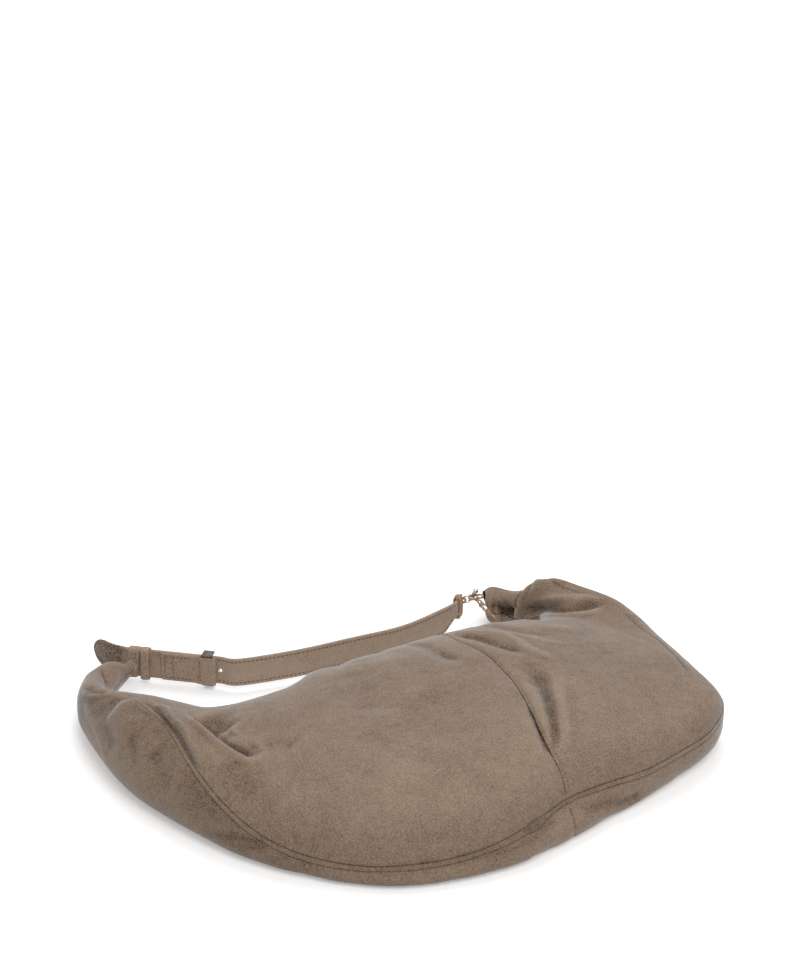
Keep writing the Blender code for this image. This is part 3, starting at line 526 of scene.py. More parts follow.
# Even points along a smooth curve through some points
def smoothRoute(points, count, runsRound=False):
    points = [np.array(point, float) for point in points]
    steps = 16
    spans = len(points) if runsRound else len(points) - 1
    dense = [curvePoint(points, step / steps, runsRound) for step in range(spans * steps)]
    dense = np.array(dense + [points[0] if runsRound else points[-1]])
    lengths = lineLengths(dense)
    places = np.linspace(0, lengths[-1], count, endpoint=not runsRound)
    return np.column_stack([np.interp(places, lengths, axis) for axis in dense.T])


# A round rod along points. The radius may change along it, and plies wind round it
def rod(route, radius, sides, runsRound=False, plies=0, plyDepth=0.0, plyPitch=1.0):
    route = [Vector(point) for point in route]
    count = len(route)
    radii = list(radius) if hasattr(radius, "__len__") else [radius] * count
    points = []
    across = None
    run = 0.0
    for place, point in enumerate(route):
        before = route[(place - 1) % count] if runsRound or place > 0 else point
        after = route[(place + 1) % count] if runsRound or place < count - 1 else point
        along = (after - before).normalized()
        if across is None:
            across = along.orthogonal().normalized()
        across = (across - along * across.dot(along)).normalized()
        beside = along.cross(across)
        run += (point - before).length if place else 0.0
        for side in range(sides):
            turn = math.tau * side / sides
            swell = 1.0
            if plies:
                swell = 1.0 - plyDepth * (0.5 + 0.5 * math.cos(plies * turn + math.tau * run / plyPitch))
            spoke = across * math.cos(turn) + beside * math.sin(turn)
            points.append(point + spoke * radii[place] * swell)
    return points, ringFaces(count, sides, runsRound)


# A turned piece about a line: places along it and radii
def lathe(start, end, profile, sides):
    start = Vector(start)
    along = Vector(end) - start
    across = along.orthogonal().normalized()
    beside = along.normalized().cross(across)
    points = []
    for place, radius in profile:
        for side in range(sides):
            turn = math.tau * side / sides
            spoke = across * math.cos(turn) + beside * math.sin(turn)
            points.append(start + along * place + spoke * radius)
    return points, ringFaces(len(profile), sides)


stitchShape = {"lift": 0.00008, "arch": (-0.9, 0.35, 0.6, 0.35, -0.9),
               "thickness": (0.5, 1.0, 1.08, 1.0, 0.5), "sides": 6}


# Stitches: short rounded threads that dive into the surface at each end
def stitchSolids(route, normals, stitch, pitch, radius):
    route = np.array(route, float)
    normals = np.array(normals, float)
    lengths = lineLengths(route)
    arch = np.array(stitchShape["arch"])[:, None] * radius + stitchShape["lift"]
    thickness = [radius * share for share in stitchShape["thickness"]]
    solids = []
    for number in range(int(lengths[-1] / pitch)):
        places = number * pitch + pitch * 0.5 + np.linspace(-0.5, 0.5, len(arch)) * stitch
        spots, ups = (np.column_stack([np.interp(places, lengths, axis) for axis in values.T])
                      for values in (route, normals))
        ups /= np.linalg.norm(ups, axis=1)[:, None] + 1e-12
        solids.append(rod(spots + ups * arch, thickness, stitchShape["sides"]))
    return solids


# The pouch: the station rows of the part's source
stationRows = (
    (-0.774, 0.912, -0.732, 0.846, 0.40, 0.50, 2.1, 0.25, 0.00, 0.25, 0.55, 0.09),
    (-0.852, 0.872, -0.777, 0.800, 0.45, 0.50, 2.1, 0.26, 0.00, 0.26, 0.55, 0.06),
    (-0.914, 0.808, -0.816, 0.750, 0.50, 0.50, 2.1, 0.26, 0.00, 0.26, 0.55, 0.02),
    (-0.972, 0.700, -0.854, 0.674, 0.59, 0.50, 2.1, 0.25, 0.00, 0.25, 0.56, 0.00),
    (-0.990, 0.584, -0.822, 0.588, 0.66, 0.50, 2.1, 0.24, 0.00, 0.24, 0.56, 0.00),
    (-1.000, 0.472, -0.722, 0.504, 0.72, 0.47, 2.0, 0.24, 0.00, 0.24, 0.51, 0.00),
    (-1.000, 0.328, -0.617, 0.446, 0.73, 0.43, 1.9, 0.23, 0.00, 0.23, 0.54, 0.00),
    (-0.976, 0.172, -0.543, 0.414, 0.73, 0.42, 1.9, 0.22, 0.00, 0.22, 0.60, 0.00),
    (-0.900, -0.042, -0.435, 0.399, 0.79, 0.45, 2.2, 0.20, 0.00, 0.20, 0.80, 0.00),
    (-0.820, -0.210, -0.326, 0.396, 0.85, 0.46, 2.5, 0.17, 0.00, 0.17, 0.91, 0.00),
    (-0.712, -0.350, -0.217, 0.396, 0.91, 0.47, 2.8, 0.13, 0.07, 0.20, 0.98, 0.00),
    (-0.570, -0.486, -0.109, 0.396, 0.95, 0.46, 2.9, 0.11, 0.20, 0.19, 1.00, 0.00),
    (-0.413, -0.578, 0.000, 0.396, 0.98, 0.45, 3.0, 0.11, 0.30, 0.19, 1.00, 0.00),
    (-0.226, -0.625, 0.122, 0.396, 1.00, 0.45, 3.0, 0.11, 0.34, 0.22, 1.00, 0.00),
    (-0.035, -0.635, 0.217, 0.396, 1.01, 0.45, 3.1, 0.12, 0.50, 0.28, 1.00, 0.00),
    (0.174, -0.592, 0.296, 0.396, 1.01, 0.45, 3.1, 0.14, 0.62, 0.35, 1.00, 0.00),
    (0.339, -0.552, 0.391, 0.396, 1.00, 0.45, 3.1, 0.15, 0.37, 0.37, 1.00, 0.00),
    (0.500, -0.512, 0.478, 0.396, 0.96, 0.45, 3.1, 0.17, 0.08, 0.38, 1.00, 0.00),
    (0.655, -0.468, 0.565, 0.396, 0.90, 0.47, 3.1, 0.20, 0.00, 0.39, 1.00, 0.00),
    (0.828, -0.412, 0.639, 0.402, 0.84, 0.48, 3.1, 0.22, 0.00, 0.40, 1.00, 0.00),
    (0.954, -0.320, 0.687, 0.420, 0.78, 0.50, 3.1, 0.26, 0.00, 0.39, 0.98, 0.00),
    (0.984, -0.206, 0.717, 0.440, 0.75, 0.50, 3.0, 0.32, 0.00, 0.34, 0.92, 0.00),
    (0.998, 0.030, 0.743, 0.472, 0.75, 0.47, 2.8, 0.38, 0.00, 0.38, 0.88, 0.00),
    (1.013, 0.248, 0.757, 0.496, 0.79, 0.44, 2.6, 0.40, 0.00, 0.40, 0.86, 0.00),
    (0.962, 0.400, 0.757, 0.520, 0.79, 0.45, 2.5, 0.36, 0.00, 0.36, 0.83, 0.00),
    (0.887, 0.520, 0.748, 0.556, 0.80, 0.46, 2.4, 0.28, 0.00, 0.28, 0.76, 0.00),
    (0.848, 0.612, 0.730, 0.596, 0.60, 0.48, 2.2, 0.23, 0.00, 0.23, 0.70, 0.00),
    (0.796, 0.708, 0.696, 0.652, 0.44, 0.50, 2.1, 0.22, 0.00, 0.22, 0.65, 0.00),
    (0.748, 0.788, 0.665, 0.712, 0.42, 0.50, 2.1, 0.23, 0.00, 0.23, 0.60, 0.04),
)


# The row of one tip, where the pouch narrows to a round neck
def tipRow(tip, outward, radius):
    outside, inside = tip + outward * radius, tip - outward * radius
    return [outside.x, outside.y, inside.x, inside.y, tip.z + radius, 0.5, 2.1,
            tip.z, 0.0, tip.z, 0.55, tip.z - radius]


def pouchRows():
    width, depth, height = bag["halfWidth"], bag["depth"], bag["height"]
    scale = (width, depth, width, depth, height, 1.0, 1.0, height, bag["bellyInset"], height, 1.0, height)
    left = tipRow(neckPivot - runAway * bag["leftTipBack"], -runAlong, bag["leftNeckRadius"])
    right = tipRow(ringPoint(bag["rightTipAlong"], 0.0, 0.0), liftSide, bag["rightNeckRadius"])
    return np.array([left, *(np.array(stationRows) * scale), right])


pouchTable = pouchRows()
sectionShape = {"steps": 40, "outerSquare": 2.4, "footSquare": 2.1, "footShare": 0.46, "toeReach": 1.3,
                "heelReach": 1.2}


# The closed curve round the pouch at one place: from the zip's upper edge over the crown to the belly,
# and under it to the zip's lower edge
def sectionCurve(place):
    ox, oy, ix, iy, top, crown, square, side, inset, ledge, seam, low = curvePoint(pouchTable, place)
    low = max(low, 0.0)
    gap = bag["gap"]
    span = math.hypot(ix - ox, iy - oy)
    fromEnd = (bag["zipEnd"] - bag["zipStart"]) / 2 - abs(ix - (bag["zipEnd"] + bag["zipStart"]) / 2)
    nearZip = abs(iy - bag["zipLineY"]) < bag["zipFade"]
    opened = eased(min(max(1 + fromEnd / bag["zipFade"], 0.0), 1.0)) if nearZip else 0.0
    middle = side + (bag["zipHeight"] - side) * opened
    halfGap = gap + (bag["zipOpening"] / 2 - gap) * opened
    stand = (bag["tapeTuck"] + 2 * gap) * opened
    crownAt = span * crown
    upper = middle + halfGap + stand
    lower = middle - halfGap - stand
    turns = np.linspace(0, math.pi / 2, sectionShape["steps"] + 1)[1:]
    sines = limited(np.sin(turns))
    cosines = limited(np.cos(turns))
    outer, foot = 2 / sectionShape["outerSquare"], 2 / sectionShape["footSquare"]
    points = [(span, middle + halfGap), (span, upper + 1e-7)]
    points += list(zip(crownAt + (span - crownAt) * cosines ** (2 / square),
                       upper + (top - upper) * sines ** (2 / square)))
    points += list(zip(crownAt - (crownAt - inset) * sines ** outer,
                       ledge + (top - ledge) * cosines ** outer))
    upperCount = len(points)
    if inset > gap:
        points += list(zip(inset * (1 - sines ** foot), side + (ledge - side) * cosines ** foot))
    elif ledge - side > gap:
        points.append((inset, side))
    toe = min(span * sectionShape["footShare"], (side - low) * sectionShape["toeReach"])
    heel = min(span * sectionShape["footShare"], (lower - low) * sectionShape["heelReach"])
    points += list(zip(toe * (1 - cosines ** foot), low + (side - low) * (1 - sines ** foot)))
    points.append((span - heel, low))
    points += list(zip(span - heel + heel * sines ** foot, low + (lower - low) * (1 - cosines ** foot)))
    points.append((span, middle - halfGap))
    points = np.array(points)
    lengths = lineLengths(points)
    seamAt = lengths[upperCount - 1] * seam
    start = np.array([ox, oy])
    return points, lengths, seamAt, start, (np.array([ix, iy]) - start) / span


pouchMesh = {
    "rowSteps": 22,
    "frontColumns": 144,
    "stripColumns": 18,
    "backColumns": 84,
    "hemColumns": 6,
    "hemDepth": 1.7,
    "crowding": 0.35,
    "stripShare": 0.25,
    "relaxRounds": 14,
}


# Shares from 0 to 1 that lie closer together at both ends
def crowdedShares(count):
    steps = pouchMesh["crowding"] + np.sin(np.linspace(0, math.pi, count - 1))
    return np.concatenate([[0.0], np.cumsum(steps)]) / steps.sum()


# Rows of points round the pouch: front columns, the seam strip's columns, back columns
def pouchGrid():
    last = len(pouchTable) - 1
    places = np.linspace(0, last, last * pouchMesh["rowSteps"] + 1)
    front, strip, back = (pouchMesh[key] for key in ("frontColumns", "stripColumns", "backColumns"))
    grid = []
    for place in places:
        points, lengths, seamAt, start, inward = sectionCurve(place)
        halfStrip = min(bag["stripWidth"] / 2, seamAt * pouchMesh["stripShare"])
        columns = np.concatenate([
            np.linspace(0, seamAt - halfStrip, front),
            np.linspace(seamAt - halfStrip, seamAt + halfStrip, strip)[1:-1],
            seamAt + halfStrip + (lengths[-1] - seamAt - halfStrip) * crowdedShares(back)])
        across = np.interp(columns, lengths, points[:, 0])
        height = np.interp(columns, lengths, points[:, 1])
        grid.append(np.column_stack([start[0] + inward[0] * across, start[1] + inward[1] * across, height]))
    return places, np.array(grid)


def gridNormals(grid):
    along = np.gradient(grid, axis=0)
    across = np.gradient(grid, axis=1)
    normals = np.cross(across, along)
    return normals / np.maximum(np.linalg.norm(normals, axis=2)[..., None], 1e-12)


def relaxed(grid, rounds, share=0.5):
    grid = grid.copy()
    for _ in range(rounds):
        middle = grid[1:-1, 1:-1]
        around = (grid[:-2, 1:-1] + grid[2:, 1:-1] + grid[1:-1, :-2] + grid[1:-1, 2:]) / 4
        grid[1:-1, 1:-1] = middle + (around - middle) * share
    return grid


# Folds, as lines over the pouch in millimetres: how wide each is, how far it stands out or sinks,
# and "round" for a soft fold, "sharp" for a pinched one or "step" where the side on the left of the line
# lies over the other. The last number is how much painted shade darkens its hollow
foldLines = {
    "neckCrease": (((-189, 211, 33), (-192, 196, 35), (-193, 185, 33), (-206, 148, 48)), 3.0, -3.0, "sharp",
                    0.9),
    "neckRib": (((-174, 212, 29), (-178, 204, 27), (-184, 196, 26), (-204, 148, 48)), 3.0, 1.2, "round", 0),
    "neckFoldEdge": (((-218, 169, 42), (-218, 153, 45), (-213, 141, 49), (-207, 142, 50)), 3.5, -2.2, "step",
                      0.6),
    "outerRib": (((-224, 159, 37), (-226, 136, 35), (-229, 114, 31), (-230, 99, 24), (-230, 85, 17)), 3.0,
                  1.2, "round", 0),
    "flapStreakA": (((-216, 80, 47), (-219, 66, 43), (-221, 58, 37), (-223, 50, 32)), 5.0, -1.3, "round",
                     0.35),
    "flapStreakB": (((-209, 54, 48), (-211, 38, 43), (-213, 22, 36), (-213, 12, 28)), 7.0, -1.3, "round",
                     0.35),
    "flapDip": (((-210, 128, 51), (-213, 117, 51), (-218, 108, 48)), 5.0, -1.0, "round", 0.35),
    "ridgeFoot": (((-190, 102, 54), (-189, 94, 54), (-187, 87, 54), (-188, 73, 54), (-188, 63, 54),
                   (-187, 52, 54), (-188, 39, 54), (-189, 27, 53), (-190, 13, 51), (-190, -1, 49)), 4.0, 3.4,
                   "step", 0.9),
    "ridgeCrest": (((-184, 98, 53), (-181, 88, 53), (-180, 66, 54), (-180, 43, 56), (-179, 23, 56),
                    (-176, 3, 55), (-173, -14, 55)), 9.0, 2.2, "round", 0),
    "ridgeEdge": (((-170, 68, 54), (-170, 57, 56), (-169, 46, 57), (-168, 33, 58), (-168, 22, 58),
                   (-166, 8, 58), (-162, -5, 59), (-158, -14, 60), (-151, -15, 61)), 4.0, -5.5, "step", 1.1),
    "pocket": (((-161, 66, 54), (-159, 52, 56), (-158, 40, 58), (-155, 30, 60)), 11.0, -5.5, "round", 0.85),
    "pocketArm": (((-164, 28, 58), (-160, 25, 59), (-153, 25, 60)), 8.0, -2.0, "round", 0.5),
    "pocketShade": (((-164, 15, 59), (-160, 3, 59), (-154, -5, 61), (-146, -6, 63)), 8.0, -1.6, "round", 0.3),
    "broadValley": (((-175, -2, 55), (-174, -18, 53), (-172, -36, 51), (-168, -53, 46), (-162, -72, 41)),
                     12.0, -2.0, "round", 0.25),
    "junctionA": (((-201, -23, 12), (-195, -37, 16), (-189, -50, 20), (-178, -64, 23), (-167, -78, 26)), 3.0,
                   -1.6, "sharp", 0.8),
    "junctionB": (((-200, -3, 1), (-190, -50, 13), (-179, -65, 18), (-168, -77, 22)), 3.0, -1.2, "sharp",
                   0.6),
    "peakEdge": (((185, 135, 59), (183, 151, 44), (175, 151, 41), (170, 153, 34), (167, 152, 27),
                  (166, 153, 20)), 3.5, 4.0, "step", 0.9),
    # Painted shadow under the right tube: the hollow and tubeUnder lines darken it most
    "hollow": (((157, 169, 18), (160, 164, 20), (163, 159, 22), (166, 154, 24)), 6.0, -7.0, "round", 2.0),
    "tubeUnder": (((154, 176, 22), (160, 166, 23), (165, 159, 28)), 5.0, -3.0, "round", 1.4),
    "bandTop": (((167, 152, 25), (174, 136, 38), (181, 111, 51), (195, 93, 57), (206, 83, 58), (210, 77, 58)),
                 4.0, 2.0, "round", 0),
    "bandValley": (((167, 151, 22), (173, 138, 31), (174, 117, 42), (178, 93, 51), (195, 81, 56),
                    (208, 75, 57)), 6.0, -6.0, "round", 1.05),
    "bandRim": (((166, 153, 18), (173, 134, 27), (168, 89, 48), (178, 78, 53), (190, 73, 55), (207, 72, 57)),
                 3.5, 1.8, "round", 0),
    "edgeLineA": (((187, 133, 59), (190, 121, 58), (195, 106, 58), (198, 96, 58)), 1.8, -1.1, "sharp", 0.8),
    "edgeLineB": (((214, 69, 57), (213, 45, 55), (212, 24, 54), (214, 10, 53), (212, -12, 53), (207, -37, 54),
                   (201, -62, 52)), 1.8, -1.1, "sharp", 0.65),
    "pillowWrinkleA": (((110, 66, 65), (125, 61, 64), (143, 49, 63)), 2.6, 0.8, "round", 0),
    "pillowWrinkleB": (((86, 49, 70), (101, 40, 70), (111, 25, 70), (125, 16, 68), (135, 11, 67)), 2.8, 0.9,
                        "round", 0),
    "pucker": (((60, 74, 64), (67, 60, 69), (73, 48, 71), (77, 32, 73), (82, 19, 73), (86, 5, 74)), 5.5, -3.4,
                "round", 0.6),
    "puckerRidge": (((70, 77, 63), (79, 59, 69), (90, 45, 71), (93, 25, 72), (94, 10, 73), (100, -2, 72),
                     (106, -15, 72)), 4.0, 2.0, "round", 0),
    "tongue": (((64, -32, 74), (60, -49, 74), (55, -67, 73), (51, -82, 71), (48, -93, 68), (43, -108, 62)),
                3.5, 1.6, "round", 0),
    "pleatValley": (((83, -17, 74), (79, -31, 74), (74, -44, 74), (67, -64, 73), (59, -82, 70), (52, -97, 66),
                     (46, -108, 61), (41, -116, 56)), (7.0, 2.4), -3.6, "round", 0.6),
    "pleatRight": (((84, -45, 74), (71, -72, 72), (59, -95, 66), (50, -109, 60), (44, -115, 55)), 5.0, 1.8,
                    "round", 0),
    "pleatEdge": (((48, -64, 74), (44, -79, 71), (41, -94, 68), (38, -107, 63), (39, -112, 59),
                   (40, -117, 55)), 2.0, -2.8, "sharp", 1.4),
    "pillowDip": (((23, 84, 60), (28, 68, 65), (31, 48, 70), (34, 30, 73), (40, 18, 74)), 6.0, -2.4, "round",
                   0.45),
    "bellyHollowA": (((46, -139, 23), (61, -139, 21), (76, -137, 18), (97, -133, 13), (115, -128, 15)), 5.0,
                      -3.6, "round", 0.7),
    "bellyHollowB": (((-1, -144, 22), (11, -143, 22), (27, -142, 23)), 4.5, -3.0, "round", 0.5),
    "bellyHollowC": (((-41, -155, 14), (-23, -154, 16), (-5, -152, 19), (18, -148, 20)), 5.0, -2.6, "round",
                      0.5),
    "bellyHollowD": (((-2, -156, 4), (11, -153, 5), (25, -150, 6)), 4.0, -2.0, "round", 0.5),
    "bellyRidge": (((-52, -155, 13), (-33, -156, 13), (-12, -156, 15), (9, -153, 15), (25, -150, 15)), 4.0,
                    1.5, "round", 0),
    "flapStreakC": (((-217, 136, 47), (-221, 118, 45), (-226, 99, 38), (-228, 78, 32)), 8.0, -1.6, "round",
                     0.3),
    "flapSwell": (((-210, 118, 51), (-208, 92, 51), (-205, 72, 51)), 14.0, 2.5, "round", 0),
    "leftWrinkleA": (((-138, 84, 47), (-141, 66, 52), (-146, 45, 57)), 5.5, -0.8, "round", 0),
    "leftWrinkleB": (((-124, 84, 46), (-128, 62, 52), (-136, 41, 58)), 5.5, -0.8, "round", 0),
    "leftWrinkleC": (((-112, 84, 46), (-116, 66, 52), (-127, 39, 58)), 5.0, -1.2, "round", 0),
    "softPatch": (((-146, -9, 60), (-133, -12, 62), (-125, -26, 64)), 9.0, -1.5, "round", 0),
    "pillowWaveA": (((-40, 60, 66), (-48, 20, 72), (-60, -20, 72)), 16.0, -1.4, "round", 0),
    "pillowWaveB": (((-5, 70, 66), (-10, 30, 73), (-18, -25, 74)), 15.0, 1.2, "round", 0),
    "ridgeB": (((98, 92, 54), (105, 74, 63), (113, 57, 67), (145, 46, 63), (157, 35, 61)), 7.0, 1.2, "round",
                0),
    "dipB": (((88, 90, 56), (97, 66, 66), (108, 44, 68), (128, 30, 67)), 6.0, -1.2, "round", 0),
    "softDark": (((81, -4, 74), (76, -24, 74), (67, -48, 74)), 7.0, -1.4, "round", 0.35),
    "toeFoldA": (((80, -132, 6), (120, -122, 7), (160, -104, 9)), 5.0, 1.2, "round", 0),
    "zipFoldA": (((-30, 99, 40), (-34, 92, 55), (-40, 70, 64)), 6.0, -1.2, "round", 0),
    "zipFoldB": (((5, 99, 40), (2, 93, 55), (-6, 72, 66)), 6.0, -1.0, "round", 0),
    "backFoldA": (((-120, 60, 2), (-60, 80, 4), (0, 84, 6)), 8.0, -0.8, "round", 0),
    "backFoldB": (((140, 96, 8), (165, 80, 10), (190, 60, 12)), 7.0, -1.2, "round", 0),
    "sideFoldA": (((228, 20, 12), (220, -40, 12), (205, -78, 12)), 6.0, -1.4, "round", 0),
    "sideFoldB": (((231, 60, 20), (232, 20, 24), (226, -30, 24)), 7.0, -1.2, "round", 0),
}
foldFade = {"share": 0.20, "least": 0.1, "reach": 3.0, "sharpness": 1.6, "step": 1.9}
# Each wrinkle noise is its scale, its seed and its depth in millimetres
wrinkleLook = {"broad": (16.0, 3.7, 1.3), "middle": (42.0, 11.3, 0.55), "fine": (130.0, 23.9, 0.16),
               "warp": 0.004, "toneReach": 26, "toneDepth": 0.80, "tipReach": 1.6}


# How far each point lies from a line of points, how far along it, and on which side
def lineDistance(points, normals, line):
    best = np.full(len(points), 1e9)
    share = np.zeros(len(points))
    left = np.zeros(len(points))
    lengths = lineLengths(line)
    for number, (start, end) in enumerate(zip(line, line[1:])):
        step = end - start
        part = np.clip((points - start) @ step / (step @ step), 0, 1)
        offset = points - start - part[:, None] * step
        away = np.linalg.norm(offset, axis=1)
        nearer = away < best
        best[nearer] = away[nearer]
        share[nearer] = (lengths[number] + part[nearer] * np.linalg.norm(step)) / lengths[-1]
        side = (np.cross(step, offset[nearer]) * normals[nearer]).sum(axis=1)
        left[nearer] = np.sign(side)
    return best, share, left


# How far the folds push each point out, and how much painted shade darkens their hollows. A fold fades at
# both ends
def pressFolds(grid, normals):
    shift = np.zeros(grid.shape[:2])
    shade = np.zeros(grid.shape[:2])
    for line, width, depth, kind, dark in foldLines.values():
        route = smoothRoute([np.array(point) * mm for point in line], max(len(line) * 3, 8))
        first, last = width if isinstance(width, tuple) else (width, width)
        reach = foldFade["reach"] * max(first, last) * mm
        near = ((grid > route.min(axis=0) - reach) & (grid < route.max(axis=0) + reach)).all(axis=2)
        if not near.any():
            continue
        away, share, left = lineDistance(grid[near], normals[near], route)
        away = away / ((first + (last - first) * share) * mm)
        hollow = bell(away)
        profile = hollow
        if kind == "sharp":
            profile = np.exp(-foldFade["sharpness"] * away)
        elif kind == "step":
            profile = foldFade["step"] * left * away * hollow
            hollow = hollow * (left * depth < 0)
        fade = eased(limited(np.minimum(share, 1 - share) / foldFade["share"]))
        fade = foldFade["least"] + (1 - foldFade["least"]) * fade
        shift[near] += depth * mm * profile * fade
        shade[near] = np.minimum(shade[near], -dark * hollow * fade)
    return shift, shade


def wrinkleNoise(grid, scale, seed, depth):
    spots = grid.reshape(-1, 3) * scale + seed
    values = [noise.noise(spot) for spot in spots.tolist()]
    return np.array(values).reshape(grid.shape[:2]) * depth * mm


# The floor holds the underside flat
def rested(grid):
    grid = grid.copy()
    grid[..., 2] = np.maximum(grid[..., 2], 0.0)
    return grid


# How hollow or raised the surface is: dark creases in painted shade, and pale worn ridges
def foldValues(grid, normals):
    raised = ((grid - relaxed(grid, wrinkleLook["toneReach"], 1.0)) * normals).sum(axis=2)
    return np.clip(raised / (wrinkleLook["toneDepth"] * mm), -1, 1)


# The rows near the tips stand still, where the laces and the neck band hold them
def heldTips(places):
    fromTip = np.minimum(places, len(pouchTable) - 1 - places)
    return limited(fromTip / wrinkleLook["tipReach"])[:, None]


pouchSeams = {
    "stitch": 0.0024, "pitch": 0.0031, "radius": 0.00015, "fromCentre": 0.66, "stitchOffset": 0.075,
    "zipColumn": 7.3, "lowerZipColumn": 5.5, "zipRows": (10.6, 19.4), "stripEnd": 0.9,
    "stripStart": 6.2, "stripFade": 0.9,
    # The centre seam's bend: shares of the way from the zip to the strip, and shifts in stations
    "bend": ((0.0, -0.46), (0.17, -0.50), (0.25, -0.40), (0.33, -0.06), (0.39, 0.07), (0.45, 0.10),
             (0.56, 0.09), (0.62, 0.03), (0.67, -0.03), (0.73, -0.09), (0.79, -0.15), (0.84, -0.15),
             (0.90, -0.08), (0.95, 0.0), (1.0, 0.0)),
    "bendReach": 1.2,
    "bendEase": 5,
    "extraRows": (-0.026, -0.012, 0.012, 0.026),
}
# The strip's crown, its two grooves and the puckers beside them: depths in millimetres, and reaches in
# halves of the strip's width. Painted shade darkens both grooves, the one beside the front panels the more
stripShape = {"raise": 0.35, "raiseReach": 1.6, "groove": 0.60, "grooveWidth": 0.12, "groovePaintedShade": (1.7, 1.1),
              "pucker": 0.07, "puckerPitch": 5.2, "puckerAt": 1.4, "puckerReach": 0.9, "calmReach": 3.0}
# How the panels pull in at their seams: depths in millimetres, widths in stations, fades in columns, and the
# painted shade in the crease
seamShape = {"sharp": (0.016, 1.0), "broad": (0.22, 0.7), "back": (0.03, 0.8), "frontFade": 2.0,
             "backFade": 3.0, "creaseWidth": 0.017, "creasePaintedShade": 1.1}
# Painted shade on the left end, which faces away from the lamps: fades in stations and in columns, and how
# dark
flapPaintedShade = {"from": 13.5, "fade": 5.0, "tipFade": 4.0, "columns": 44, "columnFade": 20.0, "dark": 0.55}
foldTone = {"share": 0.8, "darkest": -2.0}


def rowAt(places, place):
    return np.interp(place, places, np.arange(len(places)))


# The seam between the front panels bends, and rows lie close together along it so that it is crisp
def bentRows(places, grid):
    front = pouchMesh["frontColumns"]
    shares = np.linspace(0, 1, front)
    bend = np.interp(shares, *zip(*pouchSeams["bend"]))
    ease = pouchSeams["bendEase"]
    bend = np.convolve(np.pad(bend, ease, mode="edge"), np.ones(2 * ease + 1) / (2 * ease + 1), mode="valid")
    near = bell(places - bag["seamRow"], pouchSeams["bendReach"])
    fine = np.sort(np.concatenate([places, bag["seamRow"] + np.array(pouchSeams["extraRows"])]))
    made = np.empty((len(fine), grid.shape[1], grid.shape[2]))
    for column in range(grid.shape[1]):
        moved = fine.copy()
        if column < front:
            moved = moved + np.interp(fine, places, near) * bend[column]
        for axis in range(grid.shape[2]):
            made[:, column, axis] = np.interp(moved, places, grid[:, column, axis])
    return fine, made


def shapedPouch():
    places, grid = pouchGrid()
    front, strip = pouchMesh["frontColumns"], pouchMesh["stripColumns"]
    grid = relaxed(grid, pouchMesh["relaxRounds"])
    hold = heldTips(places)
    grid = grid + gridNormals(grid) * (wrinkleNoise(grid, *wrinkleLook["broad"]) * hold)[..., None]
    normals = gridNormals(grid)
    shift, shade = pressFolds(grid, normals)
    grid = relaxed(grid + normals * (shift * hold)[..., None], 2)
    places, grid = bentRows(places, np.concatenate([grid, shade[..., None]], axis=2))
    shade = grid[..., 3]
    grid = grid[..., :3]
    hold = heldTips(places)
    normals = gridNormals(grid)
    warp = grid + normals * wrinkleLook["warp"]
    shift = (wrinkleNoise(warp, *wrinkleLook["middle"]) + wrinkleNoise(warp, *wrinkleLook["fine"])) * hold
    # The strip stands a little proud between its two stitched grooves, and the leather puckers beside them
    columns = np.arange(grid.shape[1])
    half = (strip - 1) / 2
    stripMiddle = front - 1 + half
    fromMiddle = np.abs(columns - stripMiddle) / half
    lengths = lineLengths(grid[:, int(stripMiddle)])
    raised = limited(1 - (fromMiddle / stripShape["raiseReach"]) ** 2)
    groove = bell(fromMiddle - pouchSeams["fromCentre"], stripShape["grooveWidth"])
    pucker = (np.cos(math.tau * lengths / (stripShape["puckerPitch"] * mm))[:, None]
              * bell(fromMiddle - stripShape["puckerAt"], stripShape["puckerReach"])[None, :])
    kept = limited((places - pouchSeams["stripStart"]) / pouchSeams["stripFade"])[:, None] * hold
    shift = shift + kept * (raised * stripShape["raise"] - groove * stripShape["groove"])[None, :] * mm
    shift = shift + kept * pucker * stripShape["pucker"] * mm
    # The centre seam pulls in between the left and the right panels
    fromSeam = np.abs(places - bag["seamRow"])
    frontPart = limited((front - 1 - columns) / seamShape["frontFade"])
    backPart = limited((columns - front - strip + 2) / seamShape["backFade"])
    seam = sum(bell(fromSeam, width) * depth for width, depth in (seamShape["sharp"], seamShape["broad"]))
    shift = shift - seam[:, None] * frontPart[None, :] * mm
    width, depth = seamShape["back"]
    shift = shift - bell(fromSeam, width)[:, None] * backPart[None, :] * depth * mm
    grid = rested(grid + normals * shift[..., None])
    normals = gridNormals(grid)
    # The tone of the folds: calm on the strip; painted shade in its grooves, the folds' hollows, the seams
    # and the left end; pale worn ridges
    calm = np.exp(-(fromMiddle / stripShape["calmReach"]) ** 4)[None, :] * kept
    folds = foldValues(grid, normals) * (1 - calm)
    folds = folds - (np.where(columns < stripMiddle, *stripShape["groovePaintedShade"]) * groove)[None, :] * kept
    crease = bell(fromSeam, seamShape["creaseWidth"])[:, None] * (frontPart + backPart)[None, :]
    flap = (limited((flapPaintedShade["from"] - places) / flapPaintedShade["fade"])
            * limited(places / flapPaintedShade["tipFade"]))[:, None]
    lastColumn = front + strip + flapPaintedShade["columns"]
    flap = flap * (limited((columns - stripMiddle) / half)
                   * limited((lastColumn - columns) / flapPaintedShade["columnFade"]))[None, :]
    folds = folds * foldTone["share"]
    folds = np.minimum(np.minimum(folds, 0), shade) + np.maximum(folds, 0)
    folds = folds - seamShape["creasePaintedShade"] * crease - flapPaintedShade["dark"] * flap
    return places, grid, normals, np.clip(folds, foldTone["darkest"], 1)


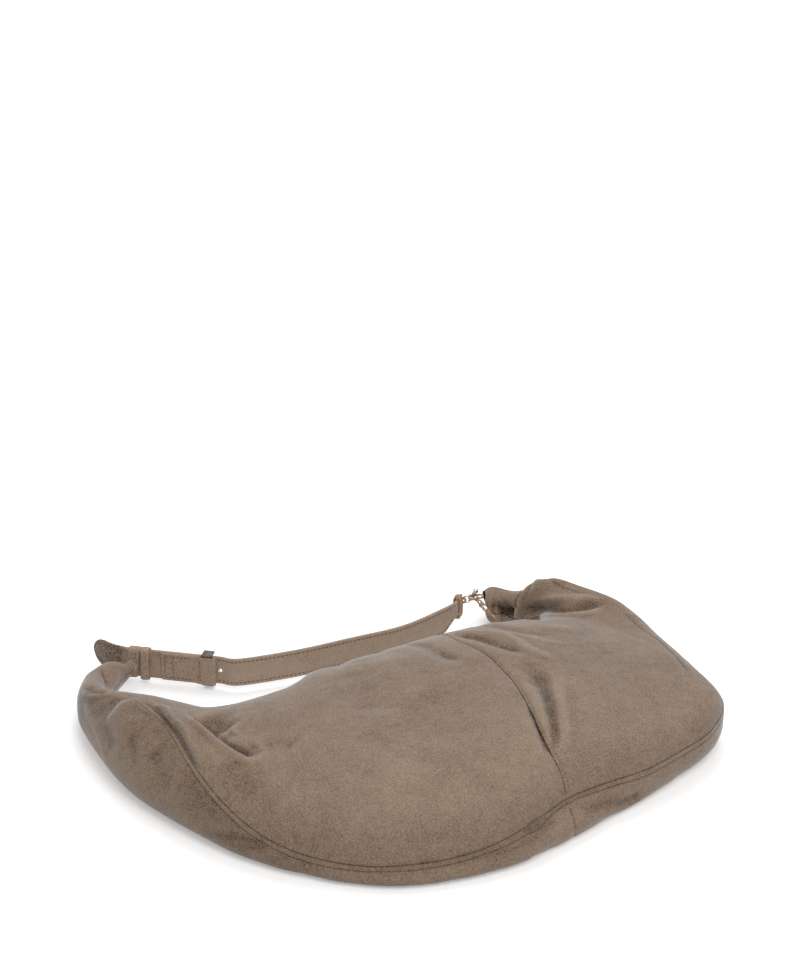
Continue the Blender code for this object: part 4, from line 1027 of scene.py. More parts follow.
# The panels, each with a hem that turns in at the zip, and the strip between front and back
def makePouch(looks):
    places, grid, normals, folds = shapedPouch()
    front, strip, hem = (pouchMesh[key] for key in ("frontColumns", "stripColumns", "hemColumns"))
    seamRow = int(round(rowAt(places, bag["seamRow"])))
    spans = {"Left": (0, seamRow + 1), "Right": (seamRow, len(places))}
    layers = {"front": (0, front), "back": (front + strip - 2, grid.shape[1])}
    for side, (first, last) in spans.items():
        for layer, (low, high) in layers.items():
            part, around, values = (table[first:last, low:high] for table in (grid, normals, folds))
            edge = range(hem, -1, -1) if layer == "front" else range(high - low - 1, high - low - 2 - hem, -1)
            inner = np.stack([part[:, c] - around[:, c] * pouchMesh["hemDepth"] * mm for c in edge], axis=1)
            hemShade = values[:, :hem + 1]
            whole = np.concatenate([inner, part] if layer == "front" else [part, inner], axis=1)
            shade = np.concatenate([hemShade, values] if layer == "front" else [values, hemShade], axis=1)
            piece = makePiece(f"{layer}Panel{side}", whole.reshape(-1, 3), gridFaces(*whole.shape[:2]),
                              looks["suede"], "pouch", "suede", {"fold": shade})
            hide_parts(f"{layer}_panel_{side.lower()}")
    band = grid[:, front - 1:front + strip - 1]
    shade = folds[:, front - 1:front + strip - 1]
    piece = makePiece("seamStrip", band.reshape(-1, 3), gridFaces(*band.shape[:2]), looks["suede"],
                      "pouch", "suede", {"fold": shade})
    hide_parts("outer_seam_strip")
    return places, grid, normals


def gridLine(grid, normals, rows, columns):
    rows = np.asarray(rows, float)
    columns = np.broadcast_to(np.asarray(columns, float), rows.shape)
    low = np.clip(np.floor(rows).astype(int), 0, grid.shape[0] - 2)
    left = np.clip(np.floor(columns).astype(int), 0, grid.shape[1] - 2)
    down = (rows - low)[:, None]
    over = (columns - left)[:, None]

    def read(values):
        upper = values[low, left] * (1 - over) + values[low, left + 1] * over
        lower = values[low + 1, left] * (1 - over) + values[low + 1, left + 1] * over
        return upper * (1 - down) + lower * down

    return read(grid), read(normals)


# Rows of thread along the seam strip, the centre seam and the zip's edges
def makePouchStitches(looks, places, grid, normals):
    front, strip = pouchMesh["frontColumns"], pouchMesh["stripColumns"]
    size = (pouchSeams["stitch"], pouchSeams["pitch"], pouchSeams["radius"])
    firstPlace = pouchSeams["stripStart"] + pouchSeams["stripFade"]
    rows = rowAt(places, np.linspace(firstPlace, len(pouchTable) - 1 - pouchSeams["stripEnd"], 700))
    half = (strip - 1) / 2
    middle = front - 1 + half
    runs = [(rows, middle + side * half * pouchSeams["fromCentre"]) for side in (-1, 1)]
    columns = np.arange(5.0, front - 2)
    seamStitches = rowAt(places, bag["seamRow"] + pouchSeams["stitchOffset"])
    runs.append((np.full(len(columns), seamStitches), columns))
    zipRows = rowAt(places, np.linspace(*pouchSeams["zipRows"], 200))
    runs += [(zipRows, column) for column in (pouchSeams["zipColumn"],
                                              grid.shape[1] - 1 - pouchSeams["lowerZipColumn"])]
    solids = []
    for someRows, someColumns in runs:
        line, ups = gridLine(grid, normals, someRows, someColumns)
        solids += stitchSolids(line, ups, *size)
    makePiece("pouchStitches", *joined(solids), looks["pouchThread"], "pouch")


liningLook = {"inside": 0.0029, "thickness": 0.6, "firstPlace": 6.0, "lastPlace": 26.0, "tuckColumns": 12,
              "waves": (55.0, 41.7, 0.5), "coarser": 3,
              # Each lining's flat cut, a crescent: width and length, its area, and how it is held
              "front": ((0.50, 0.36), 0.105, "hung"), "back": ((0.50, 0.34), 0.116, "laid")}


# Both linings hang loosely inside their panels
def makeLinings(looks, places, grid, normals):
    front, strip = pouchMesh["frontColumns"], pouchMesh["stripColumns"]
    inner = grid - normals * liningLook["inside"]
    ripple = wrinkleNoise(grid, *liningLook["waves"])
    inner = inner - normals * np.clip(ripple, 0, None)[..., None]
    rows = [row for row, place in enumerate(places)
            if liningLook["firstPlace"] <= place <= liningLook["lastPlace"]]
    tuck, step = liningLook["tuckColumns"], liningLook["coarser"]
    for name, low, high in (("front", tuck, front + strip // 2 - 1),
                            ("back", front + strip // 2 - 2, grid.shape[1] - tuck)):
        chosen = slice(rows[0], rows[-1] + 1, step), slice(low, high, step)
        outer = inner[chosen]
        under = outer - normals[chosen] * liningLook["thickness"] * mm
        piece = makePiece(f"{name}Lining", *closedSheet(relaxed(outer, 3), relaxed(under, 3)),
                          looks["lining"], "pouch", "lining")
        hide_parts(f"lining_{name}")
        flat, area, held = liningLook[name]


def closedSheet(outer, inner):
    rows, columns = outer.shape[:2]
    count = rows * columns
    points = np.concatenate([outer.reshape(-1, 3), inner.reshape(-1, 3)])
    faces = gridFaces(rows, columns) + gridFaces(rows, columns, count, True)
    numbers = np.arange(count).reshape(rows, columns)
    rim = [*numbers[0], *numbers[1:, -1], *numbers[-1, -2::-1], *numbers[-2:0:-1, 0]]
    for place, start in enumerate(rim):
        end = rim[(place + 1) % len(rim)]
        faces.append(tuple(int(corner) for corner in (start, start + count, end + count, end)))
    return points, faces


pocketLook = {"low": (-0.085, -0.0625), "high": (0.025, 0.0225), "rest": 0.0040, "thickness": 0.0009,
              "hem": 0.012, "hemRise": 0.0005, "bulge": 0.0016, "corner": 0.008, "waveScale": 60,
              "wave": 0.0004, "columns": 56, "rows": 44, "stitch": (0.0018, 0.0026, 0.00025)}


# The slip pocket: a soft patch on the back lining, hemmed along its open edge
def makeSlipPocket(looks):
    (x0, y0), (x1, y1) = pocketLook["low"], pocketLook["high"]
    columns, rows = pocketLook["columns"], pocketLook["rows"]
    outer = []
    for row in range(rows):
        line = []
        for column in range(columns):
            u, v = column / (columns - 1), row / (rows - 1)
            x, y = x0 + (x1 - x0) * u, y0 + (y1 - y0) * v
            corner = max(0.0, pocketLook["corner"] - (y - y0))
            pull = pocketLook["corner"] - math.sqrt(max(pocketLook["corner"] ** 2 - corner ** 2, 0.0))
            x += pull * (1 - 2 * u)
            swell = math.sin(math.pi * u) * (0.25 + 0.75 * v) * pocketLook["bulge"]
            spot = (x * pocketLook["waveScale"], y * pocketLook["waveScale"], 5.1)
            swell += noise.noise(spot) * pocketLook["wave"] * math.sin(math.pi * u)
            hem = pocketLook["hemRise"] if y1 - y < pocketLook["hem"] else 0.0
            line.append((x, y, pocketLook["rest"] + pocketLook["thickness"] + swell * 0.6 + hem))
        outer.append(line)
    outer = np.array(outer)
    inner = outer.copy()
    inner[..., 2] -= pocketLook["thickness"] * 0.8
    piece = makePiece("slipPocketPatch", *closedSheet(outer, inner), looks["lining"], "pouch", "lining")
    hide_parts("slip_pocket")
    edge = [*outer[:1:-1, 2], *outer[2, 2:columns - 2], *outer[2:, columns - 3]]
    hemRow = rows - int(pocketLook["hem"] / (y1 - y0) * rows)
    up = np.array([0.0, 0.0, 1.0])
    solids = []
    for line in (edge, outer[hemRow]):
        solids += stitchSolids(line, [up] * len(line), *pocketLook["stitch"])
    makePiece("slipPocketStitches", *joined(solids), looks["thread"], "pouch")


zipLook = {"tapeFrontY": 0.09665, "tapeThickness": 0.0008, "tapeNear": 0.0035, "tapeFar": 0.0112,
           "columns": 120, "rows": 12, "cord": (0.12, 0.07, 0.00022), "waveScale": 70, "wave": 0.00012,
           "endDepth": 2.2, "endColumns": 3, "leftEnd": (8.2, 11.2), "rightEnd": (18.6, 22.2)}


# Zip: woven tapes with a corded edge, and the part's own teeth, stops and slider in nickel
def makeZip(looks, places, grid, normals):
    columns, rows = zipLook["columns"], zipLook["rows"]
    cordAt, cordWidth, cordRise = zipLook["cord"]
    for name, side in (("front", 1), ("back", -1)):
        outer = []
        for row in range(rows):
            share = row / (rows - 1)
            across = zipLook["tapeNear"] + (zipLook["tapeFar"] - zipLook["tapeNear"]) * share
            cord = cordRise * bell(share - cordAt, cordWidth)
            line = []
            for column in range(columns):
                x = bag["zipStart"] + (bag["zipEnd"] - bag["zipStart"]) * column / (columns - 1)
                wave = noise.noise((x * zipLook["waveScale"], side * 3.0, share)) * zipLook["wave"]
                line.append((x, zipLook["tapeFrontY"] + cord + wave, bag["zipHeight"] + side * across))
            outer.append(line)
        outer = np.array(outer)
        inner = outer.copy()
        inner[..., 1] -= zipLook["tapeThickness"] * 0.7
        piece = makePiece(f"{name}ZipTape", *closedSheet(outer, inner), looks["tape"], "pouch", "zip_tape")
        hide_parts(f"zip_tape_{name}")
    # Past each stop the tapes run on behind the panels until their edges meet
    tucked = grid - normals * zipLook["endDepth"] * mm
    reach = zipLook["endColumns"]
    for name in ("left", "right"):
        low, high = zipLook[f"{name}End"]
        chosen = [row for row, place in enumerate(places) if low <= place <= high]
        upper = tucked[chosen, reach]
        lower = tucked[chosen, -1 - reach]
        shares = np.linspace(0, 1, 9)[None, :, None]
        outer = upper[:, None] * (1 - shares) + lower[:, None] * shares
        inner = outer - np.array([0.0, zipLook["tapeThickness"], 0.0])
        makePiece(f"{name}ZipEnd", *closedSheet(outer, inner), looks["tape"], "pouch", "zip_tape")
    for node in ("zip_teeth_front", "zip_teeth_back", "zip_stop_left", "zip_stop_right", "zip_slider",
                 "slider_bail", "zip_puller", "buckle_pin", "buckle_prong"):
        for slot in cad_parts[node].material_slots:
            slot.material = looks["nickelKept"]


# Shared by the strips on edge: where their stitch groove lies and how wide and deep it is, how far their
# edges round over, and their thread
stripLook = {"edge": 0.0010, "groove": 0.0030, "press": 0.00028, "grooveWidth": 0.0006, "thinnest": 0.00004,
             "stitch": 0.0027, "pitch": 0.0036, "thread": 0.00036, "sunk": 0.00030}


# A strip on edge: its middle line in plan, lower and upper heights, half its thickness, and the
# stitch lines that press it down at a distance from both edges
def stripMesh(route, lows, highs, half, across, edge=stripLook["edge"], groove=stripLook["groove"],
              press=stripLook["press"]):
    count = len(route)
    points = []
    sides = [(math.sin((step / across - 0.5) * math.pi), 1) for step in range(across + 1)]
    sides += [(v, -1) for v, _ in sides[::-1]]
    for place in range(count):
        here = np.array(route[place], float)
        along = np.array(route[min(place + 1, count - 1)], float) - np.array(route[max(place - 1, 0)], float)
        along /= np.linalg.norm(along) + 1e-12
        beside = np.array([-along[1], along[0]])
        low, high = lows[place], highs[place]
        middle, reach = (low + high) / 2, (high - low) / 2
        for v, side in sides:
            fromEdge = reach * (1 - abs(v))
            thick = half * math.sqrt(max(1 - max(1 - fromEdge / min(edge, reach), 0.0) ** 2, 0.0))
            if reach > groove * 1.3:
                thick -= press * bell(fromEdge - groove, stripLook["grooveWidth"])
            spot = here + beside * side * max(thick, stripLook["thinnest"])
            points.append((spot[0], spot[1], middle + reach * v))
    return points, ringFaces(count, len(sides))


def stripStitches(route, lows, highs, half, groove=stripLook["groove"], pitch=stripLook["pitch"],
                  stitch=stripLook["stitch"], chosen=True):
    route = np.array(route, float)
    lows, highs = np.array(lows), np.array(highs)
    along = np.gradient(route, axis=0)
    along /= np.linalg.norm(along, axis=1)[:, None] + 1e-12
    beside = np.column_stack([-along[:, 1], along[:, 0], np.zeros(len(route))])
    keep = (highs - lows > groove * 2.6) & chosen
    solids = []
    for side in (-1, 1):
        for heights in (lows + groove, highs - groove):
            line = np.column_stack([route, heights]) + beside * side * (half - stripLook["sunk"])
            solids += stitchSolids(line[keep], (beside * side)[keep], stitch, pitch, stripLook["thread"])
    return solids


strapLook = {
    "width": 0.025, "rest": 0.0050, "half": 0.00125, "tail": 0.035, "tailSweep": 0.016, "runBefore": 0.021,
    "runAfter": 0.075, "endTurn": 45.0, "endGap": 0.0030, "endStraight": 0.0160, "endHeight": 0.0150,
    "ringReach": 0.0050, "taper": 0.0200, "tipShare": 1.25, "bluntest": 0.16, "tailShade": -0.020,
    "tailFade": 0.008, "paintedLightFace": 0.5, "laceReach": 0.0060, "holeRadius": 0.0022,
    "holes": (0.0576, 0.0326, 0.0076), "wrapReach": 0.020,
    "places": ((-0.135, 0.671), (0.060, 0.664), (0.263, 0.658), (0.420, 0.690)),
    "points": 300, "tailPoints": 14, "tailLength": 0.012,
}
strapMiddleZ = strapLook["rest"] + strapLook["width"] / 2
strapRim = ringCentre - liftAxis * strapLook["ringReach"]
strapTurn = math.radians(strapLook["endTurn"])
strapHeading = Vector((math.cos(strapTurn), math.sin(strapTurn), 0.0))
strapBeside = Vector((-strapHeading.y, strapHeading.x, 0.0))


def strapEndPoint(along, aside, up):
    return strapRim + strapHeading * along + strapBeside * aside + Vector((0.0, 0.0, up))


def planRun(along, away):
    point = runPoint(along, away, 0.0)
    return (point.x, point.y)


# The strap's middle line in plan, the same knots as the part's source
def strapRoute():
    look = strapLook
    points = []
    for step in range(9):
        share = 1 - step / 9
        points.append(planRun(-look["runBefore"] - look["tail"] * share ** 1.4,
                              look["tailSweep"] * share ** 2.6))
    points += [planRun(along, 0.0)
               for along in (-look["runBefore"], 0.0, look["runAfter"] / 3, look["runAfter"] * 0.55)]
    end = strapRim - strapHeading * strapLook["endGap"]
    knots = [planRun(strapLook["runAfter"] * 0.8, 0.0), planRun(strapLook["runAfter"], 0.0)]
    knots += [(x * bag["halfWidth"], y * bag["depth"]) for x, y in strapLook["places"]]
    start = end - strapHeading * strapLook["endStraight"]
    knots += [(start.x, start.y), (end.x, end.y)]
    knots = [np.array(knot) for knot in knots]
    points += [tuple(curvePoint(knots, place)) for place in np.arange(0, len(knots) - 2 + 0.001, 0.25)]
    points.append(tuple((np.array(points[-1]) + knots[-1]) / 2))
    points.append(tuple(knots[-1]))
    line = np.array(points)
    lengths = lineLengths(line)
    tail = strapLook["tailLength"]
    fine = np.concatenate([np.linspace(0, tail, strapLook["tailPoints"], endpoint=False),
                           np.linspace(tail, lengths[-1], strapLook["points"])])
    line = np.column_stack([np.interp(fine, lengths, axis) for axis in line.T])
    for _ in range(4):
        line[1:-1] = line[1:-1] + 0.5 * ((line[:-2] + line[2:]) / 2 - line[1:-1])
    return line


# How far along the strap each point is, and its lower and upper edge: blunt at the tail, narrow at the ring
def strapHeights(route):
    lengths = lineLengths(route)
    radius = strapLook["width"] / 2
    lows, highs = [], []
    for along in lengths:
        fromEnd = lengths[-1] - along
        half = radius
        blunt = radius * strapLook["tipShare"]
        if along < blunt:
            half = radius * max(math.sqrt(1 - (1 - along / blunt) ** 2), strapLook["bluntest"])
        taper = eased(min(max((fromEnd - strapLook["endStraight"]) / strapLook["taper"], 0.0), 1.0))
        half = min(half, strapLook["endHeight"] / 2 + (radius - strapLook["endHeight"] / 2) * taper)
        lift = (ringCentre.z - strapMiddleZ) * (1 - taper)
        lows.append(strapMiddleZ + lift - half)
        highs.append(strapMiddleZ + lift + half)
    return lengths, np.array(lows), np.array(highs)


def cutHoles(piece, cutters):
    points, faces = joined(cutters)
    mesh = bpy.data.meshes.new("holeCutter")
    mesh.from_pydata(points, [], faces)
    cutter = placed("holeCutter", mesh)
    change = piece.modifiers.new("holes", "BOOLEAN")
    change.object = cutter
    change.operation = "DIFFERENCE"
    change.solver = "EXACT"
    bpy.context.view_layer.update()
    seen = piece.evaluated_get(bpy.context.evaluated_depsgraph_get())
    shape = bpy.data.meshes.new_from_object(seen)
    piece.modifiers.clear()
    piece.data = shape
    bpy.data.objects.remove(cutter, do_unlink=True)


def makeStrap(looks):
    route = strapRoute()
    lengths, lows, highs = strapHeights(route)
    solid = stripMesh(route, lows, highs, strapLook["half"], 40)
    strap = makePiece("strapBand", *solid, looks["strap"], sharp=50)
    ends = [[runPoint(along, away, strapMiddleZ) for away in (-0.005, 0.005)] for along in strapLook["holes"]]
    ends.append([strapEndPoint(-strapLook["laceReach"], aside, 0.0) for aside in (-0.003, 0.003)])
    holes = [rod(line, strapLook["holeRadius"], 20) for line in ends]
    cutHoles(strap, holes)
    keepPlace(strap)
    # Painted light makes the face paler, where it stands on edge and gets little lamp light, and painted
    # shade darkens the tail, which faces away from the lamps
    spots = np.empty(len(strap.data.vertices) * 3, np.float32)
    strap.data.vertices.foreach_get("co", spots)
    along = (spots.reshape(-1, 3) - np.array(runStart)) @ np.array(runAlong)
    tail = limited((strapLook["tailShade"] - along) / strapLook["tailFade"])
    layer = strap.data.attributes.new("fold", "FLOAT", "POINT")
    layer.data.foreach_set("value", (strapLook["paintedLightFace"] * (1 - tail) - tail).astype(np.float32))
    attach(strap, "strap")
    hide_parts("strap_face", "strap_backing")
    beforeWrap = lengths < lengths[-1] - strapLook["wrapReach"]
    solids = stripStitches(route, lows, highs, strapLook["half"], chosen=beforeWrap)
    makePiece("strapStitches", *joined(solids), looks["thread"], "strap")
    return route


buckleLook = {"inner": -0.00215, "outer": -0.00535, "flat": -0.00365, "frameMiddle": 0.0475,
              "frameWidth": 0.0090, "thickness": 0.0012, "flapEnd": 0.0087, "rise": 0.0060,
              "start": -0.02155, "near": -0.00375, "far": 0.00495, "frameThickness": 0.0014,
              "foldOut": 0.0006, "frameTurn": 0.0011, "frameEase": 0.45, "overhang": 0.0004,
              "stitchInset": 0.0028, "boxRows": (0.0028, 0.0098),
              "thread": (0.0024, 0.0032, 0.00036), "proud": 0.0002}


# The short strap that folds round the frame, its end stitched down in a box
def makeBuckle(looks):
    look = buckleLook
    left = look["frameMiddle"] - look["frameWidth"] / 2
    right = look["frameMiddle"] + look["frameWidth"] / 2
    fold = (look["inner"] + look["outer"]) / 2
    radius = (look["inner"] - look["outer"]) / 2
    path = [(along, look["inner"]) for along in np.linspace(look["start"], right, 30)]
    for step in range(13):
        turn = math.pi / 2 - math.pi * step / 12
        path.append((right + look["foldOut"] + radius * math.cos(turn), fold + radius * math.sin(turn)))
    path += [(along, look["outer"]) for along in np.linspace(right - 0.001, left, 6)]
    for share in np.linspace(0, 1, 9)[1:]:
        away = look["outer"] + (look["flat"] - look["outer"]) * eased(share)
        path.append((left - look["rise"] * share, away))
    path += [(along, look["flat"]) for along in np.linspace(left - look["rise"] - 0.001, look["flapEnd"], 16)]
    route = np.array([planRun(*point) for point in path])
    low = np.full(len(route), strapLook["rest"] + 0.0001)
    high = low + strapLook["width"] - 0.0002
    solid = stripMesh(route, low, high, look["thickness"] / 2, 34, 0.0006, 0.0028, 0.00016)
    piece = makePiece("buckleStrap", *solid, looks["strap"], "strap", "strap_suede", sharp=50)
    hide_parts("buckle_strap")
    lower = strapLook["rest"] + look["stitchInset"]
    upper = strapLook["rest"] + strapLook["width"] - look["stitchInset"]
    away = Vector((-runAway.x, -runAway.y, 0.0))
    lift = look["proud"] - look["thickness"] / 2
    heights = np.linspace(lower, upper, 12)
    boxEnds = look["flapEnd"] + look["stitchInset"], left - look["rise"] - 0.0005
    lines = [[runPoint(look["flapEnd"] + inset, look["flat"] + lift, z) for z in heights]
             for inset in look["boxRows"]]
    lines += [[runPoint(along, look["flat"] + lift, z) for along in np.linspace(*boxEnds, 14)]
              for z in (lower, upper)]
    lines.append([runPoint(left - 0.0010, look["outer"] + lift, z) for z in heights])
    solids = []
    for line in lines:
        solids += stitchSolids(line, [away] * len(line), *look["thread"])
    makePiece("buckleStitches", *joined(solids), looks["thread"], "strap")
    top = strapLook["rest"] + strapLook["width"] + look["overhang"] + look["frameThickness"] / 2
    bottom = strapLook["rest"] - look["overhang"] - look["frameThickness"] / 2
    frameRoute = [(look["far"], top), (look["near"], top), (look["near"], bottom), (look["far"], bottom)]
    piece = makePiece("buckleFrame", *frameSolid(frameRoute, left, right, look["frameThickness"] / 2),
                      looks["frame"], "strap", "nickel", sharp=40)
    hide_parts("buckle_frame")


# A flat bar bent into three sides, its edges eased and its corners turned on a small radius
def frameSolid(corners, left, right, half):
    path = []
    turn = buckleLook["frameTurn"]
    count = len(corners)
    for number, corner in enumerate(corners):
        here = np.array(corner)
        if number in (0, count - 1):
            path.append(here)
            continue
        before = np.array(corners[number - 1]) - here
        after = np.array(corners[number + 1]) - here
        before = before / np.linalg.norm(before)
        after = after / np.linalg.norm(after)
        for share in np.linspace(0, 1, 7):
            a = here + before * turn * (1 - share)
            b = here + after * turn * share
            path.append(a * (1 - share) + b * share)
    path = np.array(path)
    ease = half * buckleLook["frameEase"]
    middle, reach = (left + right) / 2, (right - left) / 2
    profile = [(-reach, -half + ease), (-reach + ease * 0.3, -half + ease * 0.3), (-reach + ease, -half),
               (reach - ease, -half), (reach - ease * 0.3, -half + ease * 0.3), (reach, -half + ease),
               (reach, half - ease), (reach - ease * 0.3, half - ease * 0.3), (reach - ease, half),
               (-reach + ease, half), (-reach + ease * 0.3, half - ease * 0.3), (-reach, half - ease)]
    points = []
    for number, here in enumerate(path):
        along = path[min(number + 1, len(path) - 1)] - path[max(number - 1, 0)]
        along /= np.linalg.norm(along)
        beside = np.array([-along[1], along[0]])
        for width, depth in profile:
            away, up = here + beside * depth
            points.append(runPoint(middle + width, away, up))
    return points, ringFaces(len(path), len(profile))


bandLook = {
    "thickness": 0.0013, "clearance": 0.0004, "corner": 0.0026, "step": 0.0012,
    # Each band: node, body, middle and width along the straps, lean, and how far the near side goes round
    "neckBand": ("neck_loop_left", "strap", -0.0166, 0.0104, 0.0024, strapLook["half"] + 0.0015),
    "keeperBand": ("keeper_loop", "keeper", -0.0055, 0.0070, 0.0004, 0.00495),
    "across": (-1, -0.97, -0.86, -0.60, -0.47, -0.38, -0.29, -0.15, 0.0, 0.15, 0.29, 0.38, 0.47, 0.60, 0.86,
               0.97, 1),
    "groove": (0.38, 0.08, 0.55), "softness": 0.9, "wave": 0.00012, "stitchPlace": 0.19,
    "stitchLift": 0.00042, "stitchEnds": 0.003, "thread": (0.0022, 0.0030, 0.0003),
}


# A closed band round the straps: a rounded loop with softened edges and a stitch line by each
def bandSolid(near, far, low, high, middle, width, half, lean):
    corner, step = bandLook["corner"], bandLook["step"]
    grooveAt, grooveWidth, grooveDepth = bandLook["groove"]
    outline = []
    for x, y, quarterTurn in ((far - corner, high - corner, 0), (-near + corner, high - corner, 1),
                              (-near + corner, low + corner, 2), (far - corner, low + corner, 3)):
        for part in range(9):
            turn = math.pi / 2 * (quarterTurn + part / 8)
            outline.append(np.array([x + corner * math.cos(turn), y + corner * math.sin(turn)]))
    path = []
    for number, start in enumerate(outline):
        way = outline[(number + 1) % len(outline)] - start
        count = max(1, int(np.linalg.norm(way) / step))
        path += [start + way * part / count for part in range(count)]
    ease = half * bandLook["softness"]
    reach = width / 2
    across = [reach * share for share in bandLook["across"]]
    points = []
    for number, here in enumerate(path):
        along = path[(number + 1) % len(path)] - path[number - 1]
        along /= np.linalg.norm(along)
        beside = np.array([-along[1], along[0]])
        for side, places in ((1, across), (-1, across[::-1])):
            for place in places:
                fromEdge = reach - abs(place)
                thick = half * math.sqrt(max(1 - max(1 - fromEdge / ease, 0.0) ** 2, 0.02))
                if side > 0:
                    thick -= half * grooveDepth * bell(abs(place) / reach - grooveAt, grooveWidth)
                wave = bandLook["wave"] * math.sin(number * 0.9 + place * 900)
                away, up = here + beside * (side * thick + wave)
                points.append(runPoint(middle + place + leanAt(up, low, high, lean), away, up))
    return points, ringFaces(len(path), len(across) * 2, True)


# How far a leaning band has shifted along the strap at one height
def leanAt(height, low, high, lean):
    return lean * (2 * (height - low) / (high - low) - 1)


def makeBands(looks):
    look = bandLook
    half = look["thickness"] / 2
    around = look["clearance"] + half
    low = strapLook["rest"] - around
    high = strapLook["rest"] + strapLook["width"] + around
    away = Vector((-runAway.x, -runAway.y, 0.0))
    for name in ("neckBand", "keeperBand"):
        node, body, middle, width, lean, inside = look[name]
        near = inside + around
        solid = bandSolid(near, strapLook["half"] + around, low, high, middle, width, half, lean)
        piece = makePiece(name, *solid, looks["strap"], body, "strap_suede", sharp=60)
        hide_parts(node)
        solids = []
        for side in (-1, 1):
            beside = middle + side * width * look["stitchPlace"]
            spots = [runPoint(beside + leanAt(z, low, high, lean), look["stitchLift"] - near - half, z)
                     for z in np.linspace(low + look["stitchEnds"], high - look["stitchEnds"], 12)]
            solids += stitchSolids(spots, [away] * len(spots), *look["thread"])
        makePiece(f"{name}Stitches", *joined(solids), looks["thread"], body)


sleeveLook = {"tipRadius": 0.0046, "endRadius": 0.0037, "end": 0.0088, "sides": 48, "rings": 26,
              "pleats": 7, "pleatDepth": 0.10, "tall": 1.18, "gather": 3.2}


# The left neck gathers into a narrow sleeve that runs to the band, with pleats drawn along it
def makeNeckSleeve(looks, grid):
    look = sleeveLook
    sides, rings = look["sides"], look["rings"]
    ring = grid[pouchMesh["rowSteps"] // 4, :-1]
    start = Vector(ring.mean(axis=0))
    end = neckPivot + runAway * look["end"]
    firstRing = smoothRoute(list(ring[::max(1, len(ring) // 40)]), sides, True)
    up = Vector((0.0, 0.0, 1.0))
    points = []
    for number in range(rings):
        share = number / (rings - 1)
        middle = start.lerp(end, share)
        radius = look["tipRadius"] + (look["endRadius"] - look["tipRadius"]) * share
        mix = eased(min(1.0, share * look["gather"]))
        deep = look["pleatDepth"] * math.sin(math.pi * min(1.0, share * 1.6 + 0.1))
        for side in range(sides):
            spoke = Vector(firstRing[side]) - start
            flat = spoke - runAway * spoke.dot(runAway)
            turn = math.atan2(flat.dot(up), flat.dot(runAlong))
            pleat = 1 + deep * math.cos(turn * look["pleats"] + share * 2.0)
            target = (runAlong * math.cos(turn) + up * math.sin(turn) * look["tall"]) * radius * pleat
            points.append(middle + flat * (1 - mix) + target * mix)
    piece = makePiece("neckSleeve", points, ringFaces(rings, sides), looks["suede"], None, "suede",
                      {"fold": np.zeros(len(points))})
    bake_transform(piece)
    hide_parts("neck_tab_left")


ringLook = {"radius": 0.0050, "wire": 0.0011, "lean": 30.0, "beadRadius": 0.0024, "beadGroove": 0.10}
laceShape = {"radius": 0.0010, "half": 0.0031, "bend": 0.0020, "reach": 0.0150, "knotPlace": 0.0080,
             "wrapTurns": 3, "wrapSteps": 60, "wrapPitch": 0.0025, "wrapInset": 0.0068, "wrapAway": 0.0009,
             # Sides of a loop's and of a strand's mesh, and the length in which the two plies wind round once
             "loopSides": 16, "strandSides": 14, "loopTwist": 0.011, "knotTwist": 0.009, "wrapTwist": 0.010,
             "strandTwist": 0.008, "plyDepth": 0.16, "knotDepth": 0.18, "knotSwell": 1.04}


def loopPiece(looks, name, body, route, radius, twist, depth):
    solid = rod(route, radius, laceShape["loopSides"], True, 2, depth, twist)
    return makePiece(name, *solid, looks["lace"], body, "lace")


def strandPiece(looks, name, body, route, radius, twist):
    solid = rod(route, radius, laceShape["strandSides"], False, 2, laceShape["plyDepth"], twist)
    return makePiece(name, *solid, looks["lace"], body, "lace")


# Places along a ball and its radii there, with small flats at both ends
def ballProfile(radius, steps, flat):
    turns = [math.pi * step / steps for step in range(steps + 1)]
    return [(0.5 - 0.5 * math.cos(turn), radius * max(math.sin(turn), flat)) for turn in turns]


# A loop with two straight sides and round ends. The place function sets each of its points
def stadiumRoute(low, high, half, place, count):
    points = []
    for middle, first in ((high - half, -math.pi / 2), (low + half, math.pi / 2)):
        for step in range(13):
            turn = math.pi * step / 12 + first
            points.append(place(middle + half * math.cos(turn), half * math.sin(turn)))
    return smoothRoute(points, count, True)


